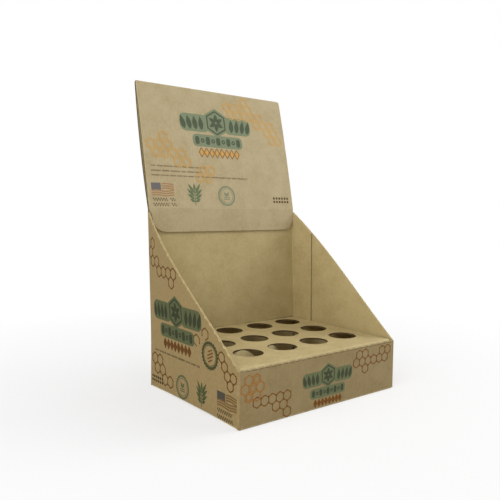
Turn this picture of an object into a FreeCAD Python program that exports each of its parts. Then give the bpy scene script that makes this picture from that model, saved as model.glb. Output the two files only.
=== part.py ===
import FreeCAD, Part
import math
import os

Vector = FreeCAD.Vector

# A counter display of kraft board, folded from two blanks: the box with its header, and the
# shelf with the holes. X runs across the front, -Y is the front, Z is up, and the origin is
# the middle of the base. All sizes are in millimetres.

# Board and creases
BOARD = 1.5
FOLD_INSIDE = 0.6
FOLD_MIDDLE = FOLD_INSIDE + BOARD / 2
FOLD_OUTSIDE = FOLD_INSIDE + BOARD

# Walls of the box, outside sizes
WIDTH = 180.0
DEPTH = 138.0
FRONT_HEIGHT = 45.0
BACK_HEIGHT = 161.5
# Above the shelf the free walls give a little: the back leans and the sides bow out.
BACK_LEAN = 7.5
LEFT_BOW = 8.5
RIGHT_BOW = 8.0
# The box is closed along its back right corner by a flap glued inside the right wall.
GLUE_FLAP = 26.0
GLUE_LINE = 0.2
RAW_EDGE_SETBACK = 0.4

# Header: the back wall runs on upwards, folds over and comes down to a tuck flap. It is as
# wide as the back wall, less a little relief at each edge.
HEADER_RELIEF = 1.0
HEADER_LENGTH = 122.0
HEADER_TILT = 13.0
HEADER_BULGE = 2.2
HEADER_FOLD_INSIDE = 0.4
HEADER_CORNER = 4.0
HEADER_CREASE_RISE = 3.5
TUCK_LENGTH = 22.5
TUCK_CORNER = 11.0
TUCK_GAP = 0.6

# Torn perforation along the diagonals and the front edge
NICK_PITCH = 8.0
NICK_LENGTH = 1.8
NICK_TIP = 0.9
NICK_HEIGHT = 0.4

# Lock bottom: the front and back flaps lie below, the side flaps above them.
LOCK_STEP = 10.0
LOCK_SLANT = 9.0
LOCK_SEAM = 0.6
LOCK_TAPER = 3.0
SIDE_FLAP_REACH = 72.0
SIDE_FLAP_NOSE = 24.0
SIDE_FLAP_HEEL = 30.0
SCORE_WIDTH = 1.0
SCORE_DEPTH = 0.3

# Shelf
SHELF_RISE = 1.5
SHELF_GAP = 0.4
HOLE_RADIUS = 13.0
COLUMNS = 4
ROWS = 3
COLUMN_PITCH = 37.5
ROW_PITCH = 39.5
HOLES_RIGHT_SHIFT = 4.0
HOLES_BACK_SHIFT = 9.0
FLANGE_TAPER = 1.5

# Worked out from the sizes above
HALF_WIDTH = WIDTH / 2
FRONT_Y = -DEPTH / 2
BACK_Y = DEPTH / 2
BOTTOM_TOP = 2 * BOARD
WALL_FOOT = FOLD_OUTSIDE + BOARD
FREE_HEIGHT = BACK_HEIGHT - FRONT_HEIGHT
LEAN = math.degrees(math.atan(BACK_LEAN / FREE_HEIGHT))
FLAP_OUTSIDE = HALF_WIDTH - BOARD - GLUE_LINE
HEADER_LEFT = -HALF_WIDTH + HEADER_RELIEF
HEADER_RIGHT = FLAP_OUTSIDE - HEADER_RELIEF
SHELF_TOP = FRONT_HEIGHT + SHELF_RISE
SHELF_HALF_DEPTH = DEPTH / 2 - BOARD - SHELF_GAP
SHELF_LEFT = -HALF_WIDTH + BOARD + SHELF_GAP
SHELF_RIGHT = FLAP_OUTSIDE - BOARD - SHELF_GAP
# Room past the object that every cutting solid takes
MARGIN = 20.0


def direction(degrees):
    """Unit step (u, v) along a heading in a drawing plane."""
    angle = math.radians(degrees)
    return math.cos(angle), math.sin(angle)


class Strip:
    """The middle line of a strip of board in a drawing plane, walked from one end to the other."""

    def __init__(self, u, v, heading):
        self.u = u
        self.v = v
        self.heading = heading
        self.runs = []

    def station(self):
        """Where the walk stands, with the normal on its left."""
        return self.u, self.v, direction(self.heading + 90)

    def forward(self, length, bow=0.0):
        """Walks straight, or along a shallow arc whose middle stands out by bow to the left."""
        start = self.station()
        du, dv = direction(self.heading)
        nu, nv = start[2]
        middle = (
            self.u + du * length / 2 + nu * bow,
            self.v + dv * length / 2 + nv * bow,
            (nu, nv),
        )
        self.u += du * length
        self.v += dv * length
        end = self.station()
        self.runs.append([start, middle, end] if bow else [start, end])
        return self

    def turn(self, radius, degrees):
        """Walks round an arc, to the left where degrees is positive."""
        start = self.station()
        side = math.copysign(1, degrees)
        nu, nv = start[2]
        centre_u = self.u + nu * side * radius
        centre_v = self.v + nv * side * radius
        stations = [start]
        for share in (0.5, 1.0):
            normal = direction(self.heading + degrees * share + 90)
            u = centre_u - normal[0] * side * radius
            v = centre_v - normal[1] * side * radius
            stations.append((u, v, normal))
        self.u, self.v = stations[-1][:2]
        self.heading += degrees
        self.runs.append(stations)
        return self

    def level_off(self, u, v):
        """Ends the strip at a point with a cut that is level in the drawing plane."""
        side = math.copysign(1, direction(self.heading + 90)[0])
        self.runs.append([self.station(), (u, v, (side, 0.0))])
        return self

    def outline(self, place):
        """Closed wire half a board's thickness to each side of the middle line."""
        sides = []
        for offset in (BOARD / 2, -BOARD / 2):
            edges = []
            for run in self.runs:
                points = [place(u + n[0] * offset, v + n[1] * offset) for u, v, n in run]
                if len(points) == 3:
                    edges.append(Part.Arc(*points).toShape())
                else:
                    edges.append(Part.LineSegment(*points).toShape())
            sides.append(edges)
        ends = []
        for run, index in ((self.runs[0], 0), (self.runs[-1], -1)):
            u, v, n = run[index]
            ends.append(
                Part.LineSegment(
                    place(u + n[0] * BOARD / 2, v + n[1] * BOARD / 2),
                    place(u - n[0] * BOARD / 2, v - n[1] * BOARD / 2),
                ).toShape()
            )
        return Part.Wire(Part.__sortEdges__(sides[0] + ends + sides[1]))


def across(strip, start, end):
    """A strip drawn in the (Y, Z) plane, carried along X from start to end."""
    wire = strip.outline(lambda u, v: Vector(start, u, v))
    return Part.Face(wire).extrude(Vector(end - start, 0, 0))


def along(strip, start, end):
    """A strip drawn in the (X, Z) plane, carried along Y from start to end."""
    wire = strip.outline(lambda u, v: Vector(u, start, v))
    return Part.Face(wire).extrude(Vector(0, end - start, 0))


def prism(points, step):
    """The closed outline of the points, carried along step."""
    return Part.Face(Part.makePolygon(points + points[:1])).extrude(step)


def back_y(z):
    """Y of the back wall's outer face: plumb up to the shelf, then leaning back."""
    return BACK_Y + BACK_LEAN * max(0.0, z - FRONT_HEIGHT) / FREE_HEIGHT


def bow_at(z, full):
    """How far a side wall bows out at height z, from nothing at the shelf."""
    return full * max(0.0, z - FRONT_HEIGHT) / FREE_HEIGHT


def wall_section(z):
    """The walls in plan at height z, from the right wall's raw edge round to the glue flap."""
    back = back_y(z)
    raw_edge = back - RAW_EDGE_SETBACK
    front_fold = FRONT_Y + BOARD / 2 + FOLD_MIDDLE
    right_length = raw_edge - front_fold
    left_length = back - BOARD / 2 - FOLD_MIDDLE - front_fold
    flap_x = FLAP_OUTSIDE - BOARD / 2
    right_bow = bow_at(z, RIGHT_BOW)
    # the flap follows the first stretch of the bowed right wall
    share = GLUE_FLAP / right_length
    flap_out = 4 * right_bow * share * (1 - share)
    flap_turn = math.degrees(math.atan2(flap_out, GLUE_FLAP))
    flap_bow = right_bow * share**2
    strip = Strip(HALF_WIDTH - BOARD / 2, raw_edge, -90)
    strip.forward(right_length, right_bow)
    strip.turn(FOLD_MIDDLE, -90)
    strip.forward(WIDTH - BOARD - 2 * FOLD_MIDDLE)
    strip.turn(FOLD_MIDDLE, -90)
    strip.forward(left_length, bow_at(z, LEFT_BOW))
    strip.turn(FOLD_MIDDLE, -90)
    strip.forward(flap_x - FOLD_MIDDLE - strip.u)
    strip.turn(FOLD_MIDDLE, -90 + flap_turn)
    strip.forward(GLUE_FLAP, flap_bow)
    return strip.outline(lambda x, y: Vector(x, y, z))


def torn_edge(start, end):
    """Points (u, v) of a torn perforation from start to end: a small nib at each nick."""
    length = math.dist(start, end)
    along_u = (end[0] - start[0]) / length
    along_v = (end[1] - start[1]) / length
    count = int(length // NICK_PITCH)
    first = (length - (count - 1) * NICK_PITCH) / 2
    points = [start]
    for index in range(count):
        middle = first + index * NICK_PITCH
        for step, rise in (
            (-NICK_LENGTH / 2, 0.0),
            (-NICK_TIP / 2, NICK_HEIGHT),
            (NICK_TIP / 2, NICK_HEIGHT),
            (NICK_LENGTH / 2, 0.0),
        ):
            at = middle + step
            points.append((
                start[0] + along_u * at - along_v * rise,
                start[1] + along_v * at + along_u * rise,
            ))
    return points + [end]


def walls():
    """The four walls and the glue flap, cut to the low front and the torn diagonals."""
    heights = (WALL_FOOT, FRONT_HEIGHT, BACK_HEIGHT + MARGIN)
    tube = Part.makeLoft([wall_section(z) for z in heights], True, True)
    diagonal = torn_edge(
        (FRONT_Y + BOARD, FRONT_HEIGHT),
        (back_y(BACK_HEIGHT) - FOLD_OUTSIDE, BACK_HEIGHT),
    )
    far = back_y(BACK_HEIGHT) + MARGIN
    side_view = (
        [(FRONT_Y - MARGIN, 0.0), (FRONT_Y - MARGIN, FRONT_HEIGHT)]
        + diagonal
        + [(far, BACK_HEIGHT), (far, 0.0)]
    )
    reach = HALF_WIDTH + MARGIN
    kept = prism([Vector(-reach, y, z) for y, z in side_view], Vector(2 * reach, 0, 0))
    return tube.common(kept)


def front_nibs():
    """Nibs that the torn perforation leaves on the front wall's top edge."""
    end = HALF_WIDTH - FOLD_OUTSIDE
    outline = torn_edge((-end, FRONT_HEIGHT), (end, FRONT_HEIGHT))
    nibs = []
    for first in range(1, len(outline) - 1, 4):
        corners = [Vector(x, FRONT_Y, z) for x, z in outline[first : first + 4]]
        nibs.append(prism(corners, Vector(0, BOARD, 0)))
    return nibs


def meeting_circles(centre_a, radius_a, centre_b, radius_b):
    """The point (u, v) with the smaller u that lies at both radii from both centres."""
    du = centre_b[0] - centre_a[0]
    dv = centre_b[1] - centre_a[1]
    apart = math.hypot(du, dv)
    reach = (radius_a**2 - radius_b**2 + apart**2) / (2 * apart)
    aside = math.sqrt(radius_a**2 - reach**2)
    foot = (centre_a[0] + du * reach / apart, centre_a[1] + dv * reach / apart)
    choices = [
        (foot[0] + side * aside * dv / apart, foot[1] - side * aside * du / apart)
        for side in (1, -1)
    ]
    return min(choices)


def header_strip():
    """The header from the side: tuck flap, front panel, top fold, bulging back and hinge."""
    middle_y = BACK_Y - BOARD / 2
    crease_z = BACK_HEIGHT + HEADER_CREASE_RISE
    lean_u, lean_v = direction(90 - LEAN)
    crease_y = middle_y + (crease_z - FRONT_HEIGHT) * lean_u / lean_v - (BOARD + TUCK_GAP) / lean_v
    strip = Strip(crease_y - TUCK_LENGTH * lean_u, crease_z - TUCK_LENGTH * lean_v, 90 - LEAN)
    strip.forward(TUCK_LENGTH)
    strip.turn(FOLD_MIDDLE, LEAN - HEADER_TILT)
    strip.forward(HEADER_LENGTH)

    # The back of the header is one shallow arc, tangent to the top fold and to the hinge crease.
    fold = HEADER_FOLD_INSIDE + BOARD / 2
    right_u, right_v = direction(strip.heading - 90)
    fold_centre = (strip.u + right_u * fold, strip.v + right_v * fold)
    hinge = (
        middle_y + (BACK_HEIGHT + BOARD - FRONT_HEIGHT) * lean_u / lean_v,
        BACK_HEIGHT + BOARD,
    )
    hinge_centre = (hinge[0] + FOLD_MIDDLE * lean_v, hinge[1] - FOLD_MIDDLE * lean_u)
    chord = math.dist(fold_centre, hinge_centre)
    bulge = chord**2 / (8 * HEADER_BULGE) + HEADER_BULGE / 2
    centre = meeting_circles(fold_centre, bulge - fold, hinge_centre, bulge + FOLD_MIDDLE)
    headings = [
        math.degrees(math.atan2(point[1] - centre[1], point[0] - centre[0])) - 90
        for point in (fold_centre, hinge_centre)
    ]
    strip.turn(fold, headings[0] - strip.heading)
    strip.turn(bulge, headings[1] - headings[0])
    strip.turn(FOLD_MIDDLE, -90 - LEAN - headings[1])
    strip.level_off(middle_y + BACK_LEAN, BACK_HEIGHT)
    return strip


def header():
    """The header across its width, with the tuck flap's and the fold's corners rounded."""
    strip = header_strip()
    panel = across(strip, HEADER_LEFT, HEADER_RIGHT)
    flap_y, flap_z = strip.runs[0][0][:2]
    ends = [Vector(x, flap_y, flap_z) for x in (HEADER_LEFT, HEADER_RIGHT)]
    corners = [
        edge
        for edge in panel.Edges
        if any(edge.CenterOfMass.isEqual(end, BOARD / 4) for end in ends)
    ]
    panel = panel.makeFillet(TUCK_CORNER, corners)
    return panel.cut(header_corners(strip))


def header_corners(strip):
    """What is cut off the header's two top corners, square to its front panel."""
    top_u, top_v, normal = strip.runs[2][-1]
    lift = HEADER_FOLD_INSIDE + BOARD
    up_u, up_v = direction(90 - HEADER_TILT)
    through = Vector(0, normal[0], normal[1])
    rise = Vector(0, up_u, up_v)
    start = Vector(0, top_u, top_v) + rise * lift - through * MARGIN
    cutters = []
    for edge_x, side in ((HEADER_LEFT, -1), (HEADER_RIGHT, 1)):
        corner = start + Vector(edge_x, 0, 0)
        inward = Vector(-side * HEADER_CORNER, 0, 0)
        down = rise * -HEADER_CORNER
        bend = (inward + down) * (1 - math.sqrt(0.5))
        arc = Part.Arc(corner + inward, corner + bend, corner + down).toShape()
        past = Vector(side * BOARD, 0, 0) + rise * BOARD
        rim = [
            corner + down,
            corner + down + past,
            corner + past * 2,
            corner + inward + past,
            corner + inward,
        ]
        wire = Part.Wire(Part.__sortEdges__([arc] + Part.makePolygon(rim).Edges))
        cutters.append(Part.Face(wire).extrude(through * (2 * MARGIN)))
    return cutters


def end_flap(side):
    """The front (side -1) or back (side 1) bottom flap, bent in under the box."""
    end = HALF_WIDTH - FOLD_OUTSIDE
    strip = Strip(side * (DEPTH / 2 - BOARD / 2), WALL_FOOT, -90)
    strip.forward(BOARD)
    strip.turn(FOLD_MIDDLE, -90 * side)
    strip.forward(DEPTH / 2 - BOARD / 2 - FOLD_MIDDLE + LOCK_STEP)
    flap = across(strip, -end, end)
    seam = LOCK_SEAM / 2
    # each flap reaches past the middle on its own side of the slant
    outline = [
        (-end, -DEPTH / 2 - MARGIN),
        (end, -DEPTH / 2 - MARGIN),
        (end, -DEPTH / 2 + FOLD_OUTSIDE),
        (end - LOCK_TAPER, -LOCK_STEP - seam),
        (LOCK_SLANT, -LOCK_STEP - seam),
        (-LOCK_SLANT, LOCK_STEP - seam),
        (LOCK_TAPER - end, LOCK_STEP - seam),
        (-end, -DEPTH / 2 + FOLD_OUTSIDE),
    ]
    points = [Vector(-side * x, -side * y, -MARGIN) for x, y in outline]
    return flap.common(prism(points, Vector(0, 0, 2 * MARGIN)))


def side_flap(side):
    """The left (side -1) or right (side 1) bottom flap, glued on the end flap by its nose."""
    end = DEPTH / 2 - FOLD_OUTSIDE
    strip = Strip(side * (HALF_WIDTH - BOARD / 2), WALL_FOOT, -90)
    strip.turn(FOLD_MIDDLE, -90 * side)
    strip.forward(SIDE_FLAP_REACH)
    flap = along(strip, -end, end)
    tip = SIDE_FLAP_REACH + BOARD / 2 + FOLD_MIDDLE - HALF_WIDTH
    inner_end = end - BOARD
    outline = [
        (-HALF_WIDTH - MARGIN, -end),
        (FOLD_OUTSIDE - HALF_WIDTH, -end),
        (FOLD_OUTSIDE + BOARD - HALF_WIDTH, -inner_end),
        (tip - SIDE_FLAP_NOSE, -inner_end),
        (tip, -inner_end + SIDE_FLAP_NOSE),
        (tip, inner_end - 2 * SIDE_FLAP_HEEL),
        (tip - SIDE_FLAP_HEEL, inner_end - SIDE_FLAP_HEEL),
        (FOLD_OUTSIDE + BOARD - HALF_WIDTH, inner_end),
        (FOLD_OUTSIDE - HALF_WIDTH, end),
        (-HALF_WIDTH - MARGIN, end),
    ]
    points = [Vector(-side * x, -side * y, -MARGIN) for x, y in outline]
    return flap.common(prism(points, Vector(0, 0, 2 * MARGIN))).cut(nose_score(side))


def nose_score(side):
    """The slanting score on a side flap, at half a right angle from the box's corner."""
    inner_x = side * (HALF_WIDTH - BOARD)
    inner_y = side * (DEPTH / 2 - BOARD)
    corner = Vector(inner_x, inner_y, BOTTOM_TOP - SCORE_DEPTH)
    run = Vector(-inner_y, -inner_y, 0)
    beside = Vector(side, -side, 0).normalize() * (SCORE_WIDTH / 2)
    points = [corner - beside, corner + beside, corner + beside + run, corner - beside + run]
    return prism(points, Vector(0, 0, SCORE_DEPTH + BOARD))


def display_box():
    """The box and header: one blank, folded and glued, so one solid."""
    pieces = front_nibs() + [header()]
    for side in (-1, 1):
        pieces += [end_flap(side), side_flap(side)]
    return walls().fuse(pieces).removeSplitter()


def hole_centres():
    """Centres (x, y) of the shelf's holes, row by row from the front."""
    return [
        (
            (column - (COLUMNS - 1) / 2) * COLUMN_PITCH + HOLES_RIGHT_SHIFT,
            (row - (ROWS - 1) / 2) * ROW_PITCH + HOLES_BACK_SHIFT,
        )
        for row in range(ROWS)
        for column in range(COLUMNS)
    ]


def shelf_channel():
    """The shelf's top with its front and back flanges."""
    flange = SHELF_TOP - FOLD_OUTSIDE - BOTTOM_TOP
    strip = Strip(-SHELF_HALF_DEPTH + BOARD / 2, BOTTOM_TOP, 90)
    strip.forward(flange)
    strip.turn(FOLD_MIDDLE, -90)
    strip.forward(2 * SHELF_HALF_DEPTH - BOARD - 2 * FOLD_MIDDLE)
    strip.turn(FOLD_MIDDLE, -90)
    strip.forward(flange)
    return across(strip, SHELF_LEFT + FOLD_OUTSIDE, SHELF_RIGHT - FOLD_OUTSIDE)


def shelf_side(edge, side):
    """A flange at the shelf's left (side -1) or right (side 1) edge, down to the bottom."""
    end = SHELF_HALF_DEPTH - FOLD_OUTSIDE
    strip = Strip(edge - side * BOARD / 2, BOTTOM_TOP, 90)
    strip.forward(SHELF_TOP - FOLD_OUTSIDE - BOTTOM_TOP)
    strip.turn(FOLD_MIDDLE, 90 * side)
    flange = along(strip, -end, end)
    # the free corners are cut back so that the flange drops in without catching
    taper = [
        prism(
            [
                Vector(edge - side * MARGIN, turn * end, BOTTOM_TOP),
                Vector(edge - side * MARGIN, turn * (end - FLANGE_TAPER), BOTTOM_TOP),
                Vector(edge - side * MARGIN, turn * end, SHELF_TOP - FOLD_OUTSIDE),
            ],
            Vector(side * 2 * MARGIN, 0, 0),
        )
        for turn in (-1, 1)
    ]
    return flange.cut(taper)


def hole_shelf():
    """The shelf: one blank with four flanges folded down and a grid of round holes."""
    shelf = shelf_channel().fuse([shelf_side(SHELF_LEFT, -1), shelf_side(SHELF_RIGHT, 1)])
    holes = [
        Part.makeCylinder(HOLE_RADIUS, 2 * MARGIN, Vector(x, y, SHELF_TOP - MARGIN))
        for x, y in hole_centres()
    ]
    return shelf.cut(holes).removeSplitter()


def main():
    """Writes one STEP file for each blank."""
    os.makedirs("parts", exist_ok=True)
    for name, shape in (("display_box", display_box()), ("hole_shelf", hole_shelf())):
        solid = shape.Solids[0]
        print(name, "solids", len(shape.Solids), "valid", shape.isValid(), "volume", round(shape.Volume))
        solid.exportStep(os.path.join("parts", name + ".step"))


main()
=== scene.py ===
import logging
import math
from dataclasses import dataclass, field
from enum import Enum
from typing import Callable, Sequence

import bpy
import numpy as np
from mathutils import Matrix, Vector


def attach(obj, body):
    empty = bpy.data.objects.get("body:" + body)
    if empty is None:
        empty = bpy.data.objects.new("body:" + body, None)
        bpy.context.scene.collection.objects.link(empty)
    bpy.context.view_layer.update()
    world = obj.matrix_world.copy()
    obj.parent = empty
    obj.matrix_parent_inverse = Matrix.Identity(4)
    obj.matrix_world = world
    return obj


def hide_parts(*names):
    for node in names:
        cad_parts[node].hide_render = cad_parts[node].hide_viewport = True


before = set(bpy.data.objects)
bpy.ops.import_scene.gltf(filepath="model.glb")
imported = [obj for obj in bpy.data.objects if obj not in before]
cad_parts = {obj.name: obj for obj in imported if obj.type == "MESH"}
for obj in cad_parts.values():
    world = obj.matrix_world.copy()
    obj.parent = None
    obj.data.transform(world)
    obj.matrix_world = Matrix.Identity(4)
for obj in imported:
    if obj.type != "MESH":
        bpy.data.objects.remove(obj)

# A counter display folded from kraft board. Shapes are worked out in millimetres on the board's
# middle surface, in the frame's own axes: X across the front, -Y the front, Z up.
MM = 0.001
LOG = logging.getLogger("display_stand")
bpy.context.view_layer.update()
# Corners of two sheets that lie this near, in millimetres, become one. The shift keeps round sizes
# off the borders of that test.
SAME_PLACE = 0.002
TEST_SHIFT = 0.137
# The kinds of face of a piece of board, in the order of its finishes.
OUTER, INNER, LINER, HOLLOW = range(4)
FOLD_SAMPLES = 9

Surface = Callable[[np.ndarray, np.ndarray], np.ndarray]
Colour = tuple[float, float, float, float]
Socket = bpy.types.NodeSocket
Value = Socket | float | Sequence[float]
Cells = Sequence[tuple[int, int]]


class Side(Enum):
    """Left or right half of the box, as the sign of X."""

    LEFT = -1
    RIGHT = 1


class End(Enum):
    """Front or back half of the box, as the sign of Y."""

    FRONT = -1
    BACK = 1


class PrintShade(Enum):
    """Painted shade of the print on each panel: the share of the header's ink colours that it keeps."""

    HEADER = (1.0, 1.0, 1.0)
    LEFT = (0.42, 0.4, 0.3)
    FRONT = (0.68, 0.65, 0.54)


def linear(hex_colour: str, share: Sequence[float] = (1.0, 1.0, 1.0)) -> Colour:
    """Turn an sRGB hex colour into the linear values that shaders take.

    Args:
        hex_colour: six hex digits.
        share: how much red, green and blue light of the colour is kept.

    Returns:
        Linear red, green, blue and an alpha of one.
    """
    channels = np.array([int(hex_colour[i : i + 2], 16) for i in (0, 2, 4)]) / 255.0
    low = channels / 12.92
    high = ((channels + 0.055) / 1.055) ** 2.4
    red, green, blue = np.where(channels <= 0.04045, low, high) * np.array(share)
    return float(red), float(green), float(blue), 1.0


def unit(vectors: np.ndarray) -> np.ndarray:
    """Scale vectors along the last axis to length one."""
    return vectors / np.maximum(np.linalg.norm(vectors, axis=-1, keepdims=True), 1e-12)


@dataclass
class Sheet:
    """A curved surface without thickness, as quads, with its place on the flat blank.

    Attributes:
        points: (n, 3) places in millimetres.
        quads: (m, 4) corners, anticlockwise seen from the outside.
        flat: (n, 2) place on the flat blank in millimetres, which becomes the UV map.
        worn: (n,) up to 1, how much a crease or a tear has roughened the liner there; below zero, painted
            shade on a cut edge.
    """

    points: np.ndarray
    quads: np.ndarray
    flat: np.ndarray
    worn: np.ndarray

    @classmethod
    def grid(cls, points: np.ndarray, flat: np.ndarray, worn: np.ndarray | None = None) -> "Sheet":
        """Make a sheet from one or more grids of points; its outside is rows crossed with columns.

        Args:
            points: (..., rows, columns, 3) places in millimetres.
            flat: (..., rows, columns, 2) places on the flat blank.
            worn: (..., rows, columns) wear, or None for none.

        Returns:
            The sheet.
        """
        rows, columns = points.shape[-3:-1]
        index = np.arange(points[..., 0].size).reshape(-1, rows, columns)
        quads = [index[:, :-1, :-1], index[:, 1:, :-1], index[:, 1:, 1:], index[:, :-1, 1:]]
        wear = np.broadcast_to(0.0 if worn is None else worn, points.shape[:-1])
        corners = np.stack(quads, -1).reshape(-1, 4)
        return cls(points.reshape(-1, 3), corners, flat.reshape(-1, 2), wear.reshape(-1))

    @classmethod
    def join(cls, sheets: Sequence["Sheet"]) -> "Sheet":
        """Put sheets together and make one corner of those that lie in the same place.

        Args:
            sheets: the sheets to join.

        Returns:
            One sheet, whose seams and poles are closed.
        """
        starts = np.cumsum([0] + [len(sheet.points) for sheet in sheets[:-1]])
        points = np.concatenate([sheet.points for sheet in sheets])
        quads = np.concatenate([sheet.quads + start for sheet, start in zip(sheets, starts)])
        keys = np.round(points / SAME_PLACE + TEST_SHIFT).astype(np.int64)
        first, back = np.unique(keys, axis=0, return_index=True, return_inverse=True)[1:]
        flat = np.concatenate([sheet.flat for sheet in sheets])[first]
        worn = np.concatenate([sheet.worn for sheet in sheets])[first]
        return cls(points[first], back.reshape(-1)[quads], flat, worn)

    def normals(self) -> np.ndarray:
        """Work out each point's normal as the sum of the quads' diagonal cross products."""
        corners = self.points[self.quads]
        across = np.cross(corners[:, 2] - corners[:, 0], corners[:, 3] - corners[:, 1])
        total = np.zeros_like(self.points)
        for corner in range(4):
            np.add.at(total, self.quads[:, corner], across)
        return unit(total)

    def rim(self) -> np.ndarray:
        """Find the edges (from, to) that only one quad uses, in that quad's own direction."""
        edges = np.concatenate([self.quads[:, [i, (i + 1) % 4]] for i in range(4)])
        edges = edges[edges[:, 0] != edges[:, 1]]
        keys = np.sort(edges, 1) @ np.array([len(self.points), 1])
        first, count = np.unique(keys, return_index=True, return_counts=True)[1:]
        return edges[first[count == 1]]

    def thicken(self, name: str, levels: Sequence[float], groove: float = 0.0) -> "SolidSheet":
        """Give the sheet its thickness and close it with a rim.

        The outer face lies at the first level along the normal and the inner face at the last.
        The rim has one strip for each step between levels, and its inner lines lie back by the
        groove, so that a cut edge shows the hollow between the liners.

        Args:
            name: the piece's name.
            levels: offsets along the normal in millimetres, from the outside in.
            groove: how far the rim's inner lines lie back, in millimetres.

        Returns:
            The closed solid, still in millimetres.
        """
        normals = self.normals()
        rim = self.rim()
        used, place = np.unique(rim, return_inverse=True)
        place = place.reshape(rim.shape)
        heading = unit(self.points[rim[:, 1]] - self.points[rim[:, 0]])
        outward = np.zeros((len(used), 3))
        for end in range(2):
            np.add.at(outward, place[:, end], np.cross(heading, normals[rim[:, end]]))
        outward = unit(outward)
        layers = [self.points + normals * levels[0]]
        tables = [rim]
        start = len(self.points)
        for level in levels[1:-1]:
            layers.append(self.points[used] + normals[used] * level - outward * groove)
            tables.append(start + place)
            start += len(used)
        layers.append(self.points + normals * levels[-1])
        tables.append(start + rim)
        strips = [
            np.stack([upper[:, 1], upper[:, 0], lower[:, 0], lower[:, 1]], -1)
            for upper, lower in zip(tables[:-1], tables[1:])
        ]
        between = len(levels) - 2
        return SolidSheet(
            name=name,
            points=np.concatenate(layers),
            outer=self.quads,
            inner=self.quads[:, ::-1] + start,
            strips=strips,
            flat=np.concatenate([self.flat] + [self.flat[used]] * between + [self.flat]),
            worn=np.concatenate([self.worn] + [self.worn[used]] * between + [self.worn]),
        )


@dataclass
class SolidSheet:
    """A sheet with thickness: outer and inner faces, and the rim's strips between them.

    Attributes:
        name: the piece's name.
        points: (n, 3) places in millimetres.
        outer: quads of the outer face.
        inner: quads of the inner face.
        strips: quads of the rim, one array for each step between levels.
        flat: (n, 2) place on the flat blank.
        worn: (n,) wear, and below zero painted shade where the board lies in shadow.
        shaded: (n,) from 0 to 1, how far the liner has passed to its darker tone, which is painted shade.
    """

    name: str
    points: np.ndarray
    outer: np.ndarray
    inner: np.ndarray
    strips: list[np.ndarray]
    flat: np.ndarray
    worn: np.ndarray
    shaded: np.ndarray | float = 0.0

    def piece(self, finishes: Sequence[bpy.types.Material]) -> bpy.types.Object:
        """Make the Blender object.

        Args:
            finishes: materials of the outer face, the inner face, the liners' cut edges and the
                hollow between them; a thin layer of ink has only the first.

        Returns:
            The piece, at the origin, with its place in its mesh.
        """
        groups = [self.outer, self.inner] + self.strips
        last = len(self.strips) - 1
        kinds = [OUTER, INNER] + [LINER if i in (0, last) else HOLLOW for i in range(last + 1)]
        faces = np.concatenate(groups)
        kind = np.concatenate([np.full(len(g), k) for g, k in zip(groups, kinds)])
        polygons = faces.tolist()
        # at a pole two corners of a quad are one, and it becomes a triangle
        for at in np.flatnonzero((faces == np.roll(faces, 1, 1)).any(1)):
            polygons[at] = list(dict.fromkeys(polygons[at]))
        mesh = bpy.data.meshes.new(self.name)
        mesh.from_pydata((self.points * MM).tolist(), [], polygons)
        slots = np.minimum(kind, len(finishes) - 1).astype(np.int32)
        mesh.polygons.foreach_set("material_index", slots)
        mesh.polygons.foreach_set("use_smooth", np.ones(len(polygons), bool))
        for finish in finishes:
            mesh.materials.append(finish)
        self.mark_corners(mesh, kind)
        corner = np.empty(len(mesh.loops), np.int32)
        mesh.loops.foreach_get("vertex_index", corner)
        layer = mesh.uv_layers.new(name="blank")
        layer.data.foreach_set("uv", (self.flat[corner] * MM).astype(np.float32).ravel())
        for name, value in (("worn", self.worn), ("shaded", self.shaded)):
            values = np.broadcast_to(value, len(self.points)).astype(np.float32)
            mesh.attributes.new(name, "FLOAT", "POINT").data.foreach_set("value", values)
        mesh.update()
        piece = bpy.data.objects.new(self.name, mesh)
        bpy.context.scene.collection.objects.link(piece)
        return piece

    def mark_corners(self, mesh: bpy.types.Mesh, kind: np.ndarray) -> None:
        """Keep the cut edges crisp: mark each edge between two kinds of face as sharp.

        Args:
            mesh: the new mesh.
            kind: each polygon's kind, in the mesh's own order.
        """
        owner = np.repeat(kind, np.array([p.loop_total for p in mesh.polygons]))
        edge = np.empty(len(mesh.loops), np.int32)
        mesh.loops.foreach_get("edge_index", edge)
        low = np.full(len(mesh.edges), HOLLOW)
        high = np.full(len(mesh.edges), OUTER)
        np.minimum.at(low, edge, owner)
        np.maximum.at(high, edge, owner)
        sharp = mesh.attributes.new("sharp_edge", "BOOLEAN", "EDGE")
        sharp.data.foreach_set("value", low != high)


def ride(piece: bpy.types.Object, replaced: str | None = None) -> None:
    """Tie a piece to the frame's one body, and hide the solid that it stands for.

    Args:
        piece: the piece.
        replaced: the solid that it stands for, or None.
    """
    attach(piece, "root")
    if replaced:
        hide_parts(replaced)
    LOG.info("%s: %d faces", piece.name, len(piece.data.polygons))


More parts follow.
